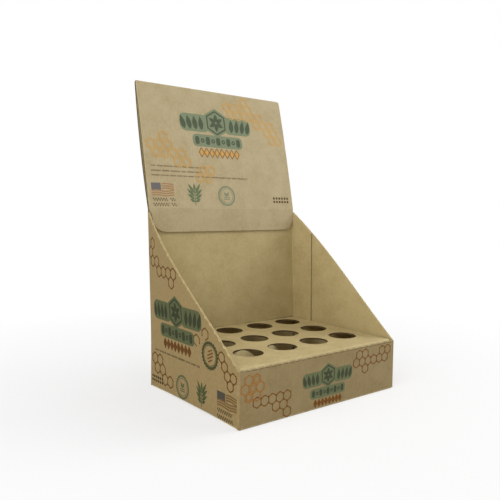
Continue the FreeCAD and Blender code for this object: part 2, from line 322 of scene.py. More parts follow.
@dataclass
class Profile:
    """A line in a plane walked from one end to the other, sampled as it goes.

    Attributes:
        place: where the walk starts.
        heading: its direction in degrees.
        step: longest distance between samples on a straight or shallow run, in millimetres.
        samples: the runs so far, each (n, 2).
        worn: their wear, each (n,).
    """

    place: np.ndarray
    heading: float
    step: float = 3.0
    samples: list[np.ndarray] = field(default_factory=list)
    worn: list[np.ndarray] = field(default_factory=list)

    def forward(self, length: float, bow: float = 0.0) -> None:
        """Walk straight ahead, or along a parabola that stands out to the left in its middle.

        Args:
            length: distance between the ends.
            bow: how far the middle stands out.
        """
        share = np.linspace(0, 1, max(2, int(length / self.step) + 2))[:, None]
        ahead = direction(self.heading)
        left = direction(self.heading + 90)
        run = self.place + ahead * length * share + left * bow * 4 * share * (1 - share)
        self.place = self.place + ahead * length
        self.keep(run, np.zeros(len(run)))

    def turn(self, radius: float, degrees: float, worn: float = 0.0, count: int = FOLD_SAMPLES) -> None:
        """Walk round an arc, to the left where degrees is positive.

        Points at angle a lie at centre - left(a) * radius, with the sign of the turn.

        Args:
            radius: radius of the arc.
            degrees: how far it turns.
            worn: wear in its middle, from where it falls off as a sine.
            count: number of samples.
        """
        side = math.copysign(1, degrees)
        centre = self.place + direction(self.heading + 90) * side * radius
        angles = self.heading + np.linspace(0, degrees, count)
        run = centre - direction(angles + 90) * side * radius
        self.place = run[-1]
        self.heading += degrees
        self.keep(run, worn * np.sin(np.linspace(0, math.pi, count)))

    def keep(self, run: np.ndarray, worn: np.ndarray) -> None:
        """Store a run without repeating the point where it begins."""
        first = 1 if self.samples else 0
        self.samples.append(run[first:])
        self.worn.append(worn[first:])

    def line(self) -> tuple[np.ndarray, np.ndarray, np.ndarray]:
        """Give the samples (n, 2), their distance along the line (n,) and their wear (n,)."""
        points = np.concatenate(self.samples)
        steps = np.linalg.norm(np.diff(points, axis=0), axis=1)
        return points, np.concatenate([[0.0], np.cumsum(steps)]), np.concatenate(self.worn)


def direction(degrees: float | np.ndarray) -> np.ndarray:
    """Unit step in a plane along a heading in degrees."""
    angle = np.radians(degrees)
    return np.stack([np.cos(angle), np.sin(angle)], -1)


def rounded_inset(distance: np.ndarray, radius: float) -> np.ndarray:
    """How far a rounded corner takes the side in at a distance from the end: a quarter circle."""
    near = np.clip(radius - distance, 0, radius)
    return radius - np.sqrt(radius**2 - near**2)


def add(tree: bpy.types.NodeTree, kind: str, settings: dict | None = None,
        **links: Value) -> bpy.types.Node:
    """Add a node, set its properties, and set or link its inputs.

    Args:
        tree: the material's node tree.
        kind: the node's type.
        settings: properties of the node itself.
        links: input names, with spaces as underscores, or input numbers after an underscore, each
            with a value or with the socket that it takes.

    Returns:
        The node.
    """
    node = tree.nodes.new(kind)
    for name, value in (settings or {}).items():
        setattr(node, name, value)
    for name, value in links.items():
        label = int(name[1:]) if name[0] == "_" else name.replace("_", " ")
        socket = node.inputs[label]
        if isinstance(value, Socket):
            tree.links.new(value, socket)
        else:
            socket.default_value = value
    return node


def tint(tree: bpy.types.NodeTree, base: Socket | Colour, colour: Colour, mask: Socket,
         ends: tuple[float, float] = (0.0, 1.0), shares: tuple[float, float] = (0.0, 1.0)) -> Socket:
    """Lay a colour over a base where a mask passes from one value to another.

    Args:
        tree: the material's node tree.
        base: the colour below.
        colour: the colour that is laid over it.
        mask: a value at each place.
        ends: the two values of the mask between which the share of the colour changes.
        shares: that share at and before the first of them, and at and past the second.

    Returns:
        Socket of the mixed colour.
    """
    share = add(tree, "ShaderNodeMapRange", Value=mask, From_Min=ends[0], From_Max=ends[1],
                To_Min=shares[0], To_Max=shares[1])
    mixed = add(tree, "ShaderNodeMix", {"data_type": "RGBA"}, _0=share.outputs[0], _6=base, _7=colour)
    return mixed.outputs[2]


def grain(tree: bpy.types.NodeTree, place: Socket, size_mm: Sequence[float], detail: float = 3.0,
          rough: float = 0.55) -> Socket:
    """Noise whose features have a real size.

    Args:
        tree: the material's node tree.
        place: Object coordinates.
        size_mm: size of the features along each axis, in millimetres.
        detail: octaves of finer noise.
        rough: how strong each octave is beside the one before.

    Returns:
        Socket of the noise, about 0.5.
    """
    scaled = add(tree, "ShaderNodeMapping", Vector=place, Scale=[1.0 / (size * MM) for size in size_mm])
    noise = add(tree, "ShaderNodeTexNoise", Vector=scaled.outputs[0], Scale=1.0, Detail=detail,
                Roughness=rough)
    return noise.outputs[0]


def patches(tree: bpy.types.NodeTree, place: Socket, size_mm: float, ends: tuple[float, float],
            detail: float = 3.0, rough: float = 0.55, most: float = 1.0) -> Socket:
    """Noise with more contrast: its values between two ends are spread out from zero.

    Args:
        tree: the material's node tree.
        place: Object coordinates.
        size_mm: size of the patches in millimetres.
        ends: the noise's values that become zero and the highest value.
        detail: octaves of finer noise.
        rough: how strong each octave is beside the one before.
        most: the highest value.

    Returns:
        Socket of the value.
    """
    noise = grain(tree, place, [size_mm] * 3, detail, rough)
    wide = add(tree, "ShaderNodeMapRange", Value=noise, From_Min=ends[0], From_Max=ends[1], To_Max=most)
    return wide.outputs[0]


def new_material(name: str) -> tuple[bpy.types.Material, bpy.types.NodeTree, Socket]:
    """Make a material without a shader.

    Args:
        name: its name.

    Returns:
        The material, its tree and the socket of its Object coordinates.
    """
    material = bpy.data.materials.new(name)
    material.use_nodes = True
    tree = material.node_tree
    tree.nodes.clear()
    return material, tree, add(tree, "ShaderNodeTexCoord").outputs["Object"]


def attribute(tree: bpy.types.NodeTree, name: str) -> Socket:
    """Socket of a value that each point of the mesh has of its own."""
    return add(tree, "ShaderNodeAttribute", {"attribute_name": name}).outputs["Fac"]


def finish_with(tree: bpy.types.NodeTree, **links: Value) -> bpy.types.Node:
    """Close a material with a Principled shader that takes these inputs, and give the shader."""
    shader = add(tree, "ShaderNodeBsdfPrincipled", **links)
    add(tree, "ShaderNodeOutputMaterial", Surface=shader.outputs[0])
    return shader


@dataclass(frozen=True)
class KraftLiner:
    """Kraft liner paper: long unbleached fibres pressed into a matt sheet.

    The pulp floats in clouds while the sheet is made, so the brown is a little uneven; single
    fibres show as short pale and dark hairs, and bark leaves a few dark specks. Over the flutes
    the liner sinks in faint lines.
    """

    name: str
    colour: str
    pale: str
    dark: str
    roughness: float = 0.78
    cloud_mm: float = 16.0
    floc_mm: float = 2.6
    # a real fibre is 0.03 mm wide; this is as fine as still shows
    fibre_mm: float = 0.4
    fibre_length_mm: float = 3.2
    speck_mm: float = 5.5
    speck: str = "6F5836"
    flute_mm: float = 3.2
    flute_depth_mm: float = 0.018
    floc_depth_mm: float = 0.06
    fibre_depth_mm: float = 0.05
    # the colour where a crease or a tear has roughened the liner; the marks below zero, which are painted
    # shade, don't reach the liner
    worn: str = "D9C793"
    # the darker tone, painted shade, to which it passes where the attribute "faded" rises to one
    shaded: str = "927F58"

    def make(self) -> bpy.types.Material:
        """Build the material: a dark brown, and over it one tint after another.

        Returns:
            The material.
        """
        material, tree, place = new_material(self.name)
        clouds = patches(tree, place, self.cloud_mm, (0.35, 0.65))
        flocs = patches(tree, place, self.floc_mm, (0.3, 0.7), 5.0, 0.65)
        upright = [self.fibre_mm, self.fibre_mm, self.fibre_length_mm]
        level = [self.fibre_length_mm, self.fibre_length_mm, self.fibre_mm]
        fibres = grain(tree, place, upright, 2.0)
        hairs = grain(tree, place, level, 2.0)
        scaled = add(tree, "ShaderNodeMapping", Vector=place, Scale=[1.0 / (self.speck_mm * MM)] * 3)
        specks = add(tree, "ShaderNodeTexVoronoi", Vector=scaled.outputs[0], Scale=1.0, Randomness=1.0)
        rubbed = add(tree, "ShaderNodeMapRange", Value=flocs, From_Min=0.2, From_Max=0.8, To_Min=0.35)
        scuffed = add(tree, "ShaderNodeMath", {"operation": "MULTIPLY"}, _0=attribute(tree, "worn"),
                      _1=rubbed.outputs[0])
        base = linear(self.dark)
        for colour, mask, ends, shares in (
            (self.colour, clouds, (0.0, 1.0), (0.0, 1.0)),
            # painted shade: the darker tone
            (self.shaded, attribute(tree, "shaded"), (0.0, 1.0), (0.0, 1.0)),
            (self.pale, flocs, (0.0, 1.0), (0.0, 0.55)),
            (self.pale, fibres, (0.56, 0.74), (0.0, 0.4)),
            (self.dark, hairs, (0.28, 0.42), (0.35, 0.0)),
            (self.speck, specks.outputs[0], (0.03, 0.07), (0.5, 0.0)),
            (self.worn, scuffed.outputs[0], (0.0, 1.0), (0.0, 1.0)),
        ):
            base = tint(tree, base, linear(colour), mask, ends, shares)
        rough = add(tree, "ShaderNodeMapRange", Value=flocs, To_Min=self.roughness - 0.06,
                    To_Max=self.roughness + 0.08)
        relief = self.relief(tree, fibres, flocs)
        finish_with(tree, Base_Color=base, Roughness=rough.outputs[0], Normal=relief)
        return material

    def relief(self, tree: bpy.types.NodeTree, fibres: Socket, flocs: Socket) -> Socket:
        """Raise the fibres and sink the liner over the flutes, a cosine across the flat blank.

        Args:
            tree: the material's node tree.
            fibres: the fibres' noise.
            flocs: the flocs' value.

        Returns:
            Socket of the normal.
        """
        blank = add(tree, "ShaderNodeUVMap", {"uv_map": "blank"}).outputs[0]
        across = add(tree, "ShaderNodeSeparateXYZ", _0=blank).outputs[0]
        phase = add(tree, "ShaderNodeMath", {"operation": "MULTIPLY"}, _0=across,
                    _1=2 * math.pi / (self.flute_mm * MM))
        height = add(tree, "ShaderNodeMath", {"operation": "COSINE"}, _0=phase.outputs[0]).outputs[0]
        bump = add(tree, "ShaderNodeBump", Height=height, Distance=self.flute_depth_mm * MM, Strength=0.6)
        for height, depth in ((flocs, self.floc_depth_mm), (fibres, self.fibre_depth_mm)):
            bump = add(tree, "ShaderNodeBump", Height=height, Distance=depth * MM, Strength=0.5,
                       Normal=bump.outputs[0])
        return bump.outputs[0]


@dataclass(frozen=True)
class CutEdge:
    """A cut or torn edge of board: chopped fibre, paler than the pressed face and quite dull.

    Where a negative "worn" marks it, the edge is dark with painted shade, for the shadow that falls on it
    there.
    """

    name: str
    colour: str
    pale: str
    # painted shade: the colour of an edge that lies in shadow
    painted_shade: str = "5A482B"
    tuft_mm: float = 0.7
    tuft_depth_mm: float = 0.12
    roughness: float = 0.92

    def make(self) -> bpy.types.Material:
        """Build the material.

        Returns:
            The material.
        """
        material, tree, place = new_material(self.name)
        tufts = patches(tree, place, self.tuft_mm, (0.35, 0.65), 4.0, 0.7)
        base = tint(tree, linear(self.colour), linear(self.pale), tufts)
        # painted shade where the mark is below zero
        base = tint(tree, base, linear(self.painted_shade), attribute(tree, "worn"), (-1.0, -0.2), (1.0, 0.0))
        bump = add(tree, "ShaderNodeBump", Height=tufts, Distance=self.tuft_depth_mm * MM, Strength=0.8)
        finish_with(tree, Base_Color=base, Roughness=self.roughness, Normal=bump.outputs[0])
        return material


@dataclass(frozen=True)
class Ink:
    """Flexo ink on kraft: it soaks in, so the board's clouds show through and edges are soft.

    A metallic foil lies on the fibres instead, and breaks into brighter and duller patches.
    """

    name: str
    colour: str
    thin: str
    # painted shade: the share of its red, green and blue that the ink keeps on a panel that takes less
    # light than the header
    keep: tuple[float, float, float] = (1.0, 1.0, 1.0)
    roughness: float = 0.7
    metallic: float = 0.0
    patch_mm: float = 2.2
    patchy: float = 0.5
    film_mm: float = 0.03
    sheen: float = 0.1

    def make(self) -> bpy.types.Material:
        """Build the material.

        Returns:
            The material.
        """
        material, tree, place = new_material(self.name)
        thin = patches(tree, place, self.patch_mm, (0.35, 0.7), 5.0, 0.7, self.patchy)
        base = tint(tree, linear(self.colour, self.keep), linear(self.thin, self.keep), thin)
        rough = add(tree, "ShaderNodeMapRange", Value=thin, To_Min=self.roughness,
                    To_Max=min(1, self.roughness + 0.3))
        bump = add(tree, "ShaderNodeBump", Height=thin, Distance=self.film_mm * MM, Strength=0.5)
        finish_with(tree, Base_Color=base, Metallic=self.metallic, Specular_IOR_Level=self.sheen,
                    Roughness=rough.outputs[0], Normal=bump.outputs[0])
        return material


class Finishes:
    """Every finish on the stand, made once."""

    def __init__(self) -> None:
        """Make the materials, each named for what it is."""
        # its darker tone, painted shade, lies on the left wall
        self.printed = KraftLiner("kraft_liner_printed_side", "927E55", "A08C60", "857146",
                                  shaded="866F41").make()
        # painted light: the header's liner is a lighter, greyer copy of the printed side, for the sheen
        # and the stronger light on its tilted face
        self.header = KraftLiner("kraft_liner_header_lit_copy", "B3A27C", "C0B08C", "A7956C").make()
        self.plain = KraftLiner("kraft_liner_plain_side", "BAA877", "C8B787", "AC9866",
                                worn="D8C898").make()
        self.shelf = KraftLiner("kraft_liner_shelf", "C0AD7A", "CDBC8B", "B29D6A", worn="DCCC9C").make()
        self.edge = CutEdge("cut_board_edge", "D2BE88", "E8D9AC").make()
        # painted shade: the back of the groove in a cut edge is darker, for the shadow between the flutes
        self.hollow = CutEdge("shaded_hollow_between_liners", "A6905C", "BBA673").make()
        # painted shade: the darkest colours of the header's edges lie where its back layer is in the
        # front layer's shadow
        self.header_edge = CutEdge("cut_header_edge", "B8AB88", "C9BD9B", "454130").make()
        self.header_hollow = CutEdge("shaded_hollow_in_header_edge", "9A8B64", "AFA17B", "3A3628").make()
        self.flute = CutEdge("fluting_paper", "BDA871", "D2C08C").make()
        self.inks = {tone: self.mix(tone) for tone in PrintShade}

    @staticmethod
    def mix(tone: PrintShade) -> dict[str, bpy.types.Material]:
        """Make the inks and foils of one panel, darkened by its painted shade.

        Args:
            tone: the painted shade of the panel's print.

        Returns:
            The materials, each under the first word of its name.
        """
        recipes = (
            ("sage_green_ink", "7E896D", "8E9272"),
            ("pine_green_ink", "505A48", "676E56"),
            ("leaf_green_ink", "667556", "808766"),
            ("olive_ink", "5F6346", "7D7B52"),
            ("brown_ink", "574830", "736240"),
            ("russet_ink", "94602F", "A57B48"),
            ("brick_ink", "A57F5C", "AE9068"),
            ("slate_ink", "6C696A", "7B756A"),
            # a foil also has its own roughness and metallic value
            ("gold_foil", "C89E58", "BC9B60", 0.45, 0.15),
            ("bronze_foil", "93602F", "82592C", 0.6, 0.05),
            ("copper_foil", "C88A48", "A87840", 0.4, 0.25),
        )
        return {
            name.split("_")[0]: Ink(f"{name}_{tone.name.lower()}", colour, thin, tone.value, *foil).make()
            for name, colour, thin, *foil in recipes
        }

    def board(self, face: bpy.types.Material, back: bpy.types.Material) -> list[bpy.types.Material]:
        """Give the four finishes of a piece of board: face, back, cut liners and hollow."""
        return [face, back, self.edge, self.hollow]


@dataclass
class Board:
    """The board: E flute, two liners on a wave of fluting paper."""

    thickness: float = 1.5
    liner: float = 0.3
    groove: float = 0.2
    fold_inside: float = 0.6
    flute_pitch: float = 3.2
    flute_paper: float = 0.22
    # the fluting starts this many grooves deep, and ends this far short of the cut
    flute_root: float = 1.6
    flute_setback: float = 0.03
    # its samples lie this far apart, and it stays this far from the ends of an edge
    flute_step: float = 0.4
    flute_margin: float = 4.0

    @property
    def fold(self) -> float:
        """Radius of a fold at the board's middle."""
        return self.fold_inside + self.thickness / 2

    @property
    def fold_outside(self) -> float:
        """Radius of a fold at the board's outer face."""
        return self.fold_inside + self.thickness

    def levels(self) -> list[float]:
        """Offsets of the faces and of the liners' inner faces from the middle."""
        half = self.thickness / 2
        return [half, half - self.liner, self.liner - half, -half]

    def fluting(self, edge: np.ndarray, face: np.ndarray, out: np.ndarray, across: np.ndarray) -> Sheet:
        """The wave of fluting paper that shows in a cut edge.

        It follows the edge, offset along the face normal by a sine of the place across the
        flutes, and reaches from inside the groove to just short of the cut.

        Args:
            edge: (n, 3) the cut edge on the middle surface.
            face: (n, 3) normals of the board's face there.
            out: (n, 3) directions out of the cut.
            across: (n,) place across the flutes in millimetres.

        Returns:
            The fluting's middle surface.
        """
        reach = self.thickness / 2 - self.liner - self.flute_paper / 2
        wave = np.sin(across * 2 * math.pi / self.flute_pitch) * reach
        depths = np.array([-self.groove * self.flute_root, -self.flute_setback])
        points = (edge + face * wave[:, None])[:, None] + out[:, None] * depths[None, :, None]
        return Sheet.grid(points, np.stack(np.broadcast_arrays(across[:, None], depths), -1))


@dataclass
class Box:
    """The box: four walls, the glue flap and the lock bottom, folded from one blank.

    The walls stand plumb up to the shelf. Above it the back leans and the sides bow out, both
    in proportion to the height, with a soft start so that no kink shows.
    """

    board: Board
    finishes: Finishes
    width: float = 180.0
    depth: float = 138.0
    front_height: float = 45.0
    back_height: float = 161.5
    back_lean: float = 7.5
    left_bow: float = 8.5
    right_bow: float = 8.0
    glue_flap: float = 26.0
    glue_line: float = 0.2
    raw_setback: float = 0.4
    soft_start: float = 30.0
    nick_pitch: float = 8.0
    nick_length: float = 1.8
    nick_tip: float = 0.9
    nick_height: float = 0.3
    # a perforated edge has no sample this near its ends; it is ragged by as much as tear, past this
    # share of its length from each end
    mark_margin: float = 0.3
    tear: float = 0.1
    tear_margin: float = 0.01
    rows: int = 26
    # the uppermost rows of points lie this far below the top edge; then the wear of a nick, and the
    # painted shade of the cut between two, on the front wall and on the sloping edges
    top_rows: tuple[float, ...] = (2.6, 1.3, 0.55, 0.0)
    front_wear_and_shade: tuple[float, float] = (0.9, -0.75)
    slope_wear_and_shade: tuple[float, float] = (1.0, -0.3)
    under_nick: float = 0.7
    fold_wear: float = 0.1
    crease_wear: float = 0.4
    shade: float = -0.6
    lock_step: float = 10.0
    lock_slant: float = 9.0
    lock_seam: float = 0.6
    lock_taper: float = 3.0
    flap_reach: float = 72.0
    flap_nose: float = 24.0
    flap_heel: float = 30.0
    flap_least: float = 1.5
    flap_step: float = 0.01
    # share of a side flap's first width that lies past its fold's ends, how far its sides then
    # draw in, how soon they do, and how soon its score begins
    flap_slack: float = 0.1
    flap_draw: float = 0.8
    flap_ramp: float = 20.0
    score_ramp: float = 10.0
    score_width: float = 1.2
    score_depth: float = 0.3
    end_rows: int = 34
    side_rows: int = 40
    back_columns: int = 60
    glue_columns: int = 18
    # painted shade: the left wall passes to a darker, more saturated tone, by this much, from this far
    # inside its foot, over this distance
    left_shade: float = 0.9
    left_shade_start: float = 2.5
    left_shade_run: float = 2.0
    tab_foot: float = 0.9
    seed: int = 7

    @property
    def half(self) -> float:
        """Half the width over the side walls."""
        return self.width / 2

    @property
    def foot(self) -> float:
        """Height at which the walls pass into the folds of the bottom flaps."""
        return self.board.fold_outside + self.board.thickness

    @property
    def flap_outside(self) -> float:
        """X of the glue flap's outer face, just inside the right wall."""
        return self.half - self.board.thickness - self.glue_line

    def raised(self, z: np.ndarray) -> np.ndarray:
        """Share of the free height at z: zero below the shelf, then a parabola into a line."""
        start = self.front_height - self.soft_start / 2
        up = np.clip(z - start, 0, self.soft_start)
        past = np.clip(z - start - self.soft_start, 0, None)
        return (up**2 / (2 * self.soft_start) + past) / (self.back_height - self.front_height)

    def back(self, z: np.ndarray) -> np.ndarray:
        """Y of the back wall's outer face at height z."""
        return self.depth / 2 + self.back_lean * self.raised(z)

    def side(self, which: Side, y: np.ndarray, z: np.ndarray) -> np.ndarray:
        """X of a side wall's middle surface: plumb, plus a parabola between its two folds.

        Args:
            which: the wall.
            y: place from front to back.
            z: height.

        Returns:
            X at each place.
        """
        full = self.left_bow if which is Side.LEFT else self.right_bow
        front = -self.depth / 2 + self.board.fold_outside
        rear = self.back(z) - self.board.fold_outside
        share = np.clip((y - front) / (rear - front), 0, 1)
        bow = 4 * full * self.raised(z) * share * (1 - share)
        return which.value * (self.half - self.board.thickness / 2 + bow)

    def nick_middles(self, length: float) -> np.ndarray:
        """Distances along a perforated edge of its nicks' middles: as many as fit, centred."""
        count = int(length // self.nick_pitch)
        first = (length - (count - 1) * self.nick_pitch) / 2
        return first + np.arange(count) * self.nick_pitch

    def nicks(self, along: np.ndarray, length: float) -> np.ndarray:
        """Height of the torn nicks along a perforated edge: a row of trapezoids.

        Args:
            along: distances along the edge.
            length: length of the edge.

        Returns:
            Height at each distance.
        """
        away = np.abs(along[..., None] - self.nick_middles(length)).min(-1)
        flank = (self.nick_length / 2 - away) / (self.nick_length - self.nick_tip) * 2
        return self.nick_height * np.clip(flank, 0, 1)

    def perforation(self, length: float) -> np.ndarray:
        """Where a perforated edge is sampled: at each nick's corners, and between.

        Args:
            length: length of the edge.

        Returns:
            Shares of the length, from 0 to 1.
        """
        corners = np.array([-self.nick_length, -self.nick_tip, self.nick_tip, self.nick_length]) / 2
        between = np.arange(1, 5) * self.nick_pitch / 5 + self.nick_length / 6
        offsets = np.concatenate([corners, between])
        marks = (self.nick_middles(length)[:, None] + offsets[None]).ravel()
        marks = marks[(marks > self.mark_margin) & (marks < length - self.mark_margin)]
        return np.unique(np.concatenate([[0.0], marks, [length]])) / length

    def diagonal(self) -> tuple[np.ndarray, np.ndarray]:
        """Ends (y, z) of the side walls' sloping edge, at the front and at the back."""
        low = np.array([-self.depth / 2 + self.board.thickness, self.front_height])
        lean = self.depth / 2 + self.back_lean
        return low, np.array([lean - self.board.fold_outside, self.back_height])

    def slope_height(self, y: np.ndarray) -> np.ndarray:
        """Height of the sloping edge above a place y: a straight line between its ends."""
        low, high = self.diagonal()
        share = np.clip((y - low[0]) / (high[0] - low[0]), 0, 1)
        return low[1] + share * (high[1] - low[1])

    def columns(self) -> dict[str, np.ndarray]:
        """Shares at which each stretch of the wall strip is sampled, in the strip's order."""
        low, high = self.diagonal()
        sloped = self.perforation(float(np.linalg.norm(high - low)))
        level = self.perforation(self.width - 2 * self.board.fold_outside)
        fold = np.linspace(0, 1, FOLD_SAMPLES)
        return {
            "right": 1 - sloped[::-1],
            "front_right": fold,
            "front": level,
            "front_left": fold,
            "left": sloped,
            "back_left": fold,
            "back": np.linspace(0, 1, self.back_columns),
            "back_right": fold,
            "flap": np.linspace(0, 1, self.glue_columns),
        }

    def strip(self, name: str, share: np.ndarray, z: np.ndarray) -> np.ndarray:
        """Middle surface of one stretch of the wall strip.

        Straight stretches run between their folds; a fold is a quarter circle in plan.

        Args:
            name: the stretch.
            share: (columns,) from 0 to 1 along it.
            z: (rows, columns) heights.

        Returns:
            (rows, columns, 3) places.
        """
        half_board = self.board.thickness / 2
        fold = self.board.fold
        front = -self.depth / 2 + self.board.fold_outside
        rear = self.back(z) - self.board.fold_outside
        side = self.half - half_board
        flap = self.flap_outside - half_board
        share = np.broadcast_to(share, z.shape)
        if name == "right":
            start = self.back(z) - self.raw_setback
            y = start + (front - self.back(z) + self.raw_setback) * share
            x = self.side(Side.RIGHT, y, z)
        elif name == "left":
            y = front + (rear - front) * share
            x = self.side(Side.LEFT, y, z)
        elif name == "front":
            reach = side - fold
            x = reach - 2 * reach * share
            y = np.full_like(z, -self.depth / 2 + half_board)
        elif name == "back":
            x = -side + fold + (flap - fold + side - fold) * share
            y = self.back(z) - half_board
        elif name == "flap":
            y = rear - self.glue_flap * share
            x = self.side(Side.RIGHT, y, z) - self.board.thickness - self.glue_line
        else:
            angle = share * math.pi / 2
            into, over = fold * np.cos(angle), fold * np.sin(angle)
            x, y = {
                "front_right": (side - fold + into, front - over),
                "front_left": (-side + fold - over, front - into),
                "back_left": (-side + fold - into, rear + over),
                "back_right": (flap - fold + over, rear + into),
            }[name]
        return np.stack([x, y, z], -1)

    def top(self, name: str, share: np.ndarray) -> np.ndarray:
        """Height of a stretch's top edge without its nicks, by three rounds on the leaning back.

        Args:
            name: the stretch.
            share: (columns,) from 0 to 1 along it.

        Returns:
            Height at each column.
        """
        z = np.full((1, len(share)), self.back_height if "back" in name else self.front_height)
        if name in ("right", "left", "flap", "back_right"):
            for _ in range(3):
                z = self.slope_height(self.strip(name, share, z)[..., 1])
        return z[0]

    def walls(self) -> Sheet:
        """The wall strip: each stretch is a grid from the foot up to its own top edge.

        Returns:
            The strip and its corner tabs as one sheet.
        """
        random = np.random.default_rng(self.seed)
        sheets = []
        walked = 0.0
        up = np.linspace(0, 1, self.rows)[:, None]
        under = np.array(self.top_rows)[:, None]
        for name, share in self.columns().items():
            top = self.top(name, share)
            z = np.concatenate([self.foot + (top - under[0] - self.foot) * up[:-1], top - under])
            worn = np.zeros_like(z)
            if name in ("right", "left", "front"):
                self.tear_top(name, share, z, worn, random)
            elif "_" in name:
                worn = worn + self.fold_wear * np.sin(share * math.pi)
            elif name == "flap":
                # the flap's end lies in its own shadow
                worn[:, -1] = self.shade
            points = self.strip(name, share, z)
            lengths = np.linalg.norm(np.diff(points[0], axis=0), axis=1)
            steps = np.concatenate([[0.0], np.cumsum(lengths)])
            flat = np.stack([np.broadcast_to(walked + steps, z.shape), z], -1)
            walked += steps[-1]
            sheets.append(Sheet.grid(points, flat, worn))
        return Sheet.join(sheets + self.corner_tabs())

    def tear_top(self, name: str, share: np.ndarray, z: np.ndarray, worn: np.ndarray,
                 random: np.random.Generator) -> None:
        """Tear the top edge of a stretch along its perforation: pale nicks in a ragged cut darkened with
        painted shade.

        Args:
            name: the stretch.
            share: (columns,) from 0 to 1 along it.
            z: (rows, columns) heights, whose last row is raised.
            worn: (rows, columns) wear and painted shade, which are set in the last two rows.
            random: what draws the raggedness.
        """
        low, high = self.diagonal()
        slope = high - low
        length, rise = float(np.linalg.norm(slope)), float(np.linalg.norm(slope) / slope[0])
        if name == "front":
            length, rise = 2 * (self.half - self.board.fold_outside), 1.0
        lift = self.nicks(share * length, length)
        inside = np.minimum(share, 1 - share) > self.tear_margin
        ragged = random.uniform(-self.tear, self.tear, len(share)) * inside
        z[-1] += (lift + ragged) * rise
        worn[-1] = np.where(lift > 0, *(self.front_wear_and_shade if name == "front" else self.slope_wear_and_shade))
        if name != "front":
            worn[-2] = self.under_nick * (lift > 0)

    def corner_tabs(self) -> list[Sheet]:
        """The folds between the walls run on below the walls' foot, nearly down to the base.

        Returns:
            The four tabs' middle surfaces.
        """
        tabs = []
        for name, share in self.columns().items():
            if "_" in name:
                z = np.repeat(np.linspace(self.tab_foot, self.foot, 5)[:, None], len(share), 1)
                points = self.strip(name, share, z)
                tabs.append(Sheet.grid(points, points[..., [0, 2]]))
        return tabs

    def foot_line(self, name: str) -> np.ndarray:
        """Middle surface of a stretch at the foot of the walls, as one row of places."""
        share = self.columns()[name]
        return self.strip(name, share, np.full((1, len(share)), self.foot))[0]

    def end_flap(self, end: End) -> Sheet:
        """A bottom flap of the front or back wall: down, round the fold and in under the box.

        Its end is the line of the lock: a step to one side of the middle, a slant across it and
        a step to the other.

        Args:
            end: the wall.

        Returns:
            The flap's middle surface.
        """
        line = self.foot_line("front" if end is End.FRONT else "back")
        board = self.board
        wide = self.half - board.fold_outside
        across = -end.value * line[:, 0]
        knots = [-wide, -self.lock_slant, self.lock_slant, wide]
        step = self.lock_step
        stop = np.interp(across, knots, [step, step, -step, -step]) - self.lock_seam / 2
        begin = -self.depth / 2 + board.fold_outside
        run = np.linspace(0, 1, self.end_rows)[:, None]
        y = begin + (stop - begin) * run
        x = across * (1 - self.lock_taper / wide * run)
        level = np.full_like(x, board.thickness / 2)
        flat_part = np.stack([-end.value * x, -end.value * y, level], -1)
        angle = np.repeat(np.linspace(math.pi / 2, 0, FOLD_SAMPLES)[:, None], len(across), 1)
        fold = np.stack(
            [
                np.broadcast_to(line[:, 0], angle.shape),
                end.value * (self.depth / 2 - board.fold_outside + board.fold * np.cos(angle)),
                board.fold_outside - board.fold * np.sin(angle),
            ],
            -1,
        )
        points = np.concatenate([flat_part[::-1], fold[1:], line[None]])
        return Sheet.grid(points, points[..., [0, 1]], self.flap_wear(points))

    def side_flap(self, side: Side) -> Sheet:
        """A bottom flap of a side wall: it lies on the end flaps, glued to one by its nose.

        A score presses a line into it, a gauss curve about the diagonal from its corner.

        Args:
            side: the wall.

        Returns:
            The flap's middle surface.
        """
        line = self.foot_line("left" if side is Side.LEFT else "right")
        board = self.board
        y_in = -side.value * line[:, 1]
        end = self.depth / 2 - board.fold_outside
        inner = end - board.thickness
        tip = self.flap_reach + board.fold_outside - self.half
        begin = -self.half + board.fold_outside
        least = begin + self.flap_least
        heel = inner - self.flap_heel
        knots = [-end, -inner, -inner + self.flap_step, -inner + self.flap_nose,
                 inner - 2 * self.flap_heel, heel, inner, end]
        reach = [begin, least, tip - self.flap_nose, tip, tip, tip - self.flap_heel, least, begin]
        side_y = self.flap_slack * y_in + (1 - self.flap_slack) * np.clip(y_in, -end, end)
        stop = np.maximum(np.interp(side_y, knots, reach), least)
        run = np.linspace(0, 1, self.side_rows)[:, None]
        x = begin + (stop - begin) * run
        inside = np.clip(side_y, -inner, inner)
        y = side_y + self.flap_draw * (inside - side_y) * np.minimum(run * self.flap_ramp, 1)
        corner = np.abs((x + self.half) - (y + self.depth / 2)) / math.sqrt(2)
        score = np.exp(-((corner / self.score_width) ** 2)) * self.score_depth
        z = 1.5 * board.thickness - score * np.minimum(run * self.score_ramp, 1)
        flat_part = np.stack([-side.value * x, -side.value * y, z], -1)
        angle = np.repeat(np.linspace(math.pi / 2, 0, FOLD_SAMPLES)[:, None], len(y_in), 1)
        fold = np.stack(
            [
                side.value * (self.half - board.fold_outside + board.fold * np.cos(angle)),
                -side.value * np.broadcast_to(side_y, angle.shape),
                board.thickness + board.fold_outside - board.fold * np.sin(angle),
            ],
            -1,
        )
        points = np.concatenate([flat_part[::-1], fold[1:-1], line[None]])
        return Sheet.grid(points, points[..., [1, 0]], self.flap_wear(points))

    def flap_wear(self, points: np.ndarray) -> np.ndarray:
        """Wear on a bottom flap's fold, which is its last rows."""
        worn = np.zeros(points.shape[:2])
        worn[1 - FOLD_SAMPLES : -2] = self.crease_wear
        return worn

    def outer_left(self, y: np.ndarray, z: np.ndarray) -> np.ndarray:
        """Outer face of the left wall at a place (y, z)."""
        return np.stack([self.side(Side.LEFT, y, z) - self.board.thickness / 2, y, z], -1)

    def outer_front(self, x: np.ndarray, z: np.ndarray) -> np.ndarray:
        """Outer face of the front wall at a place (x, z)."""
        return np.stack([x, np.full_like(x, -self.depth / 2), z], -1)

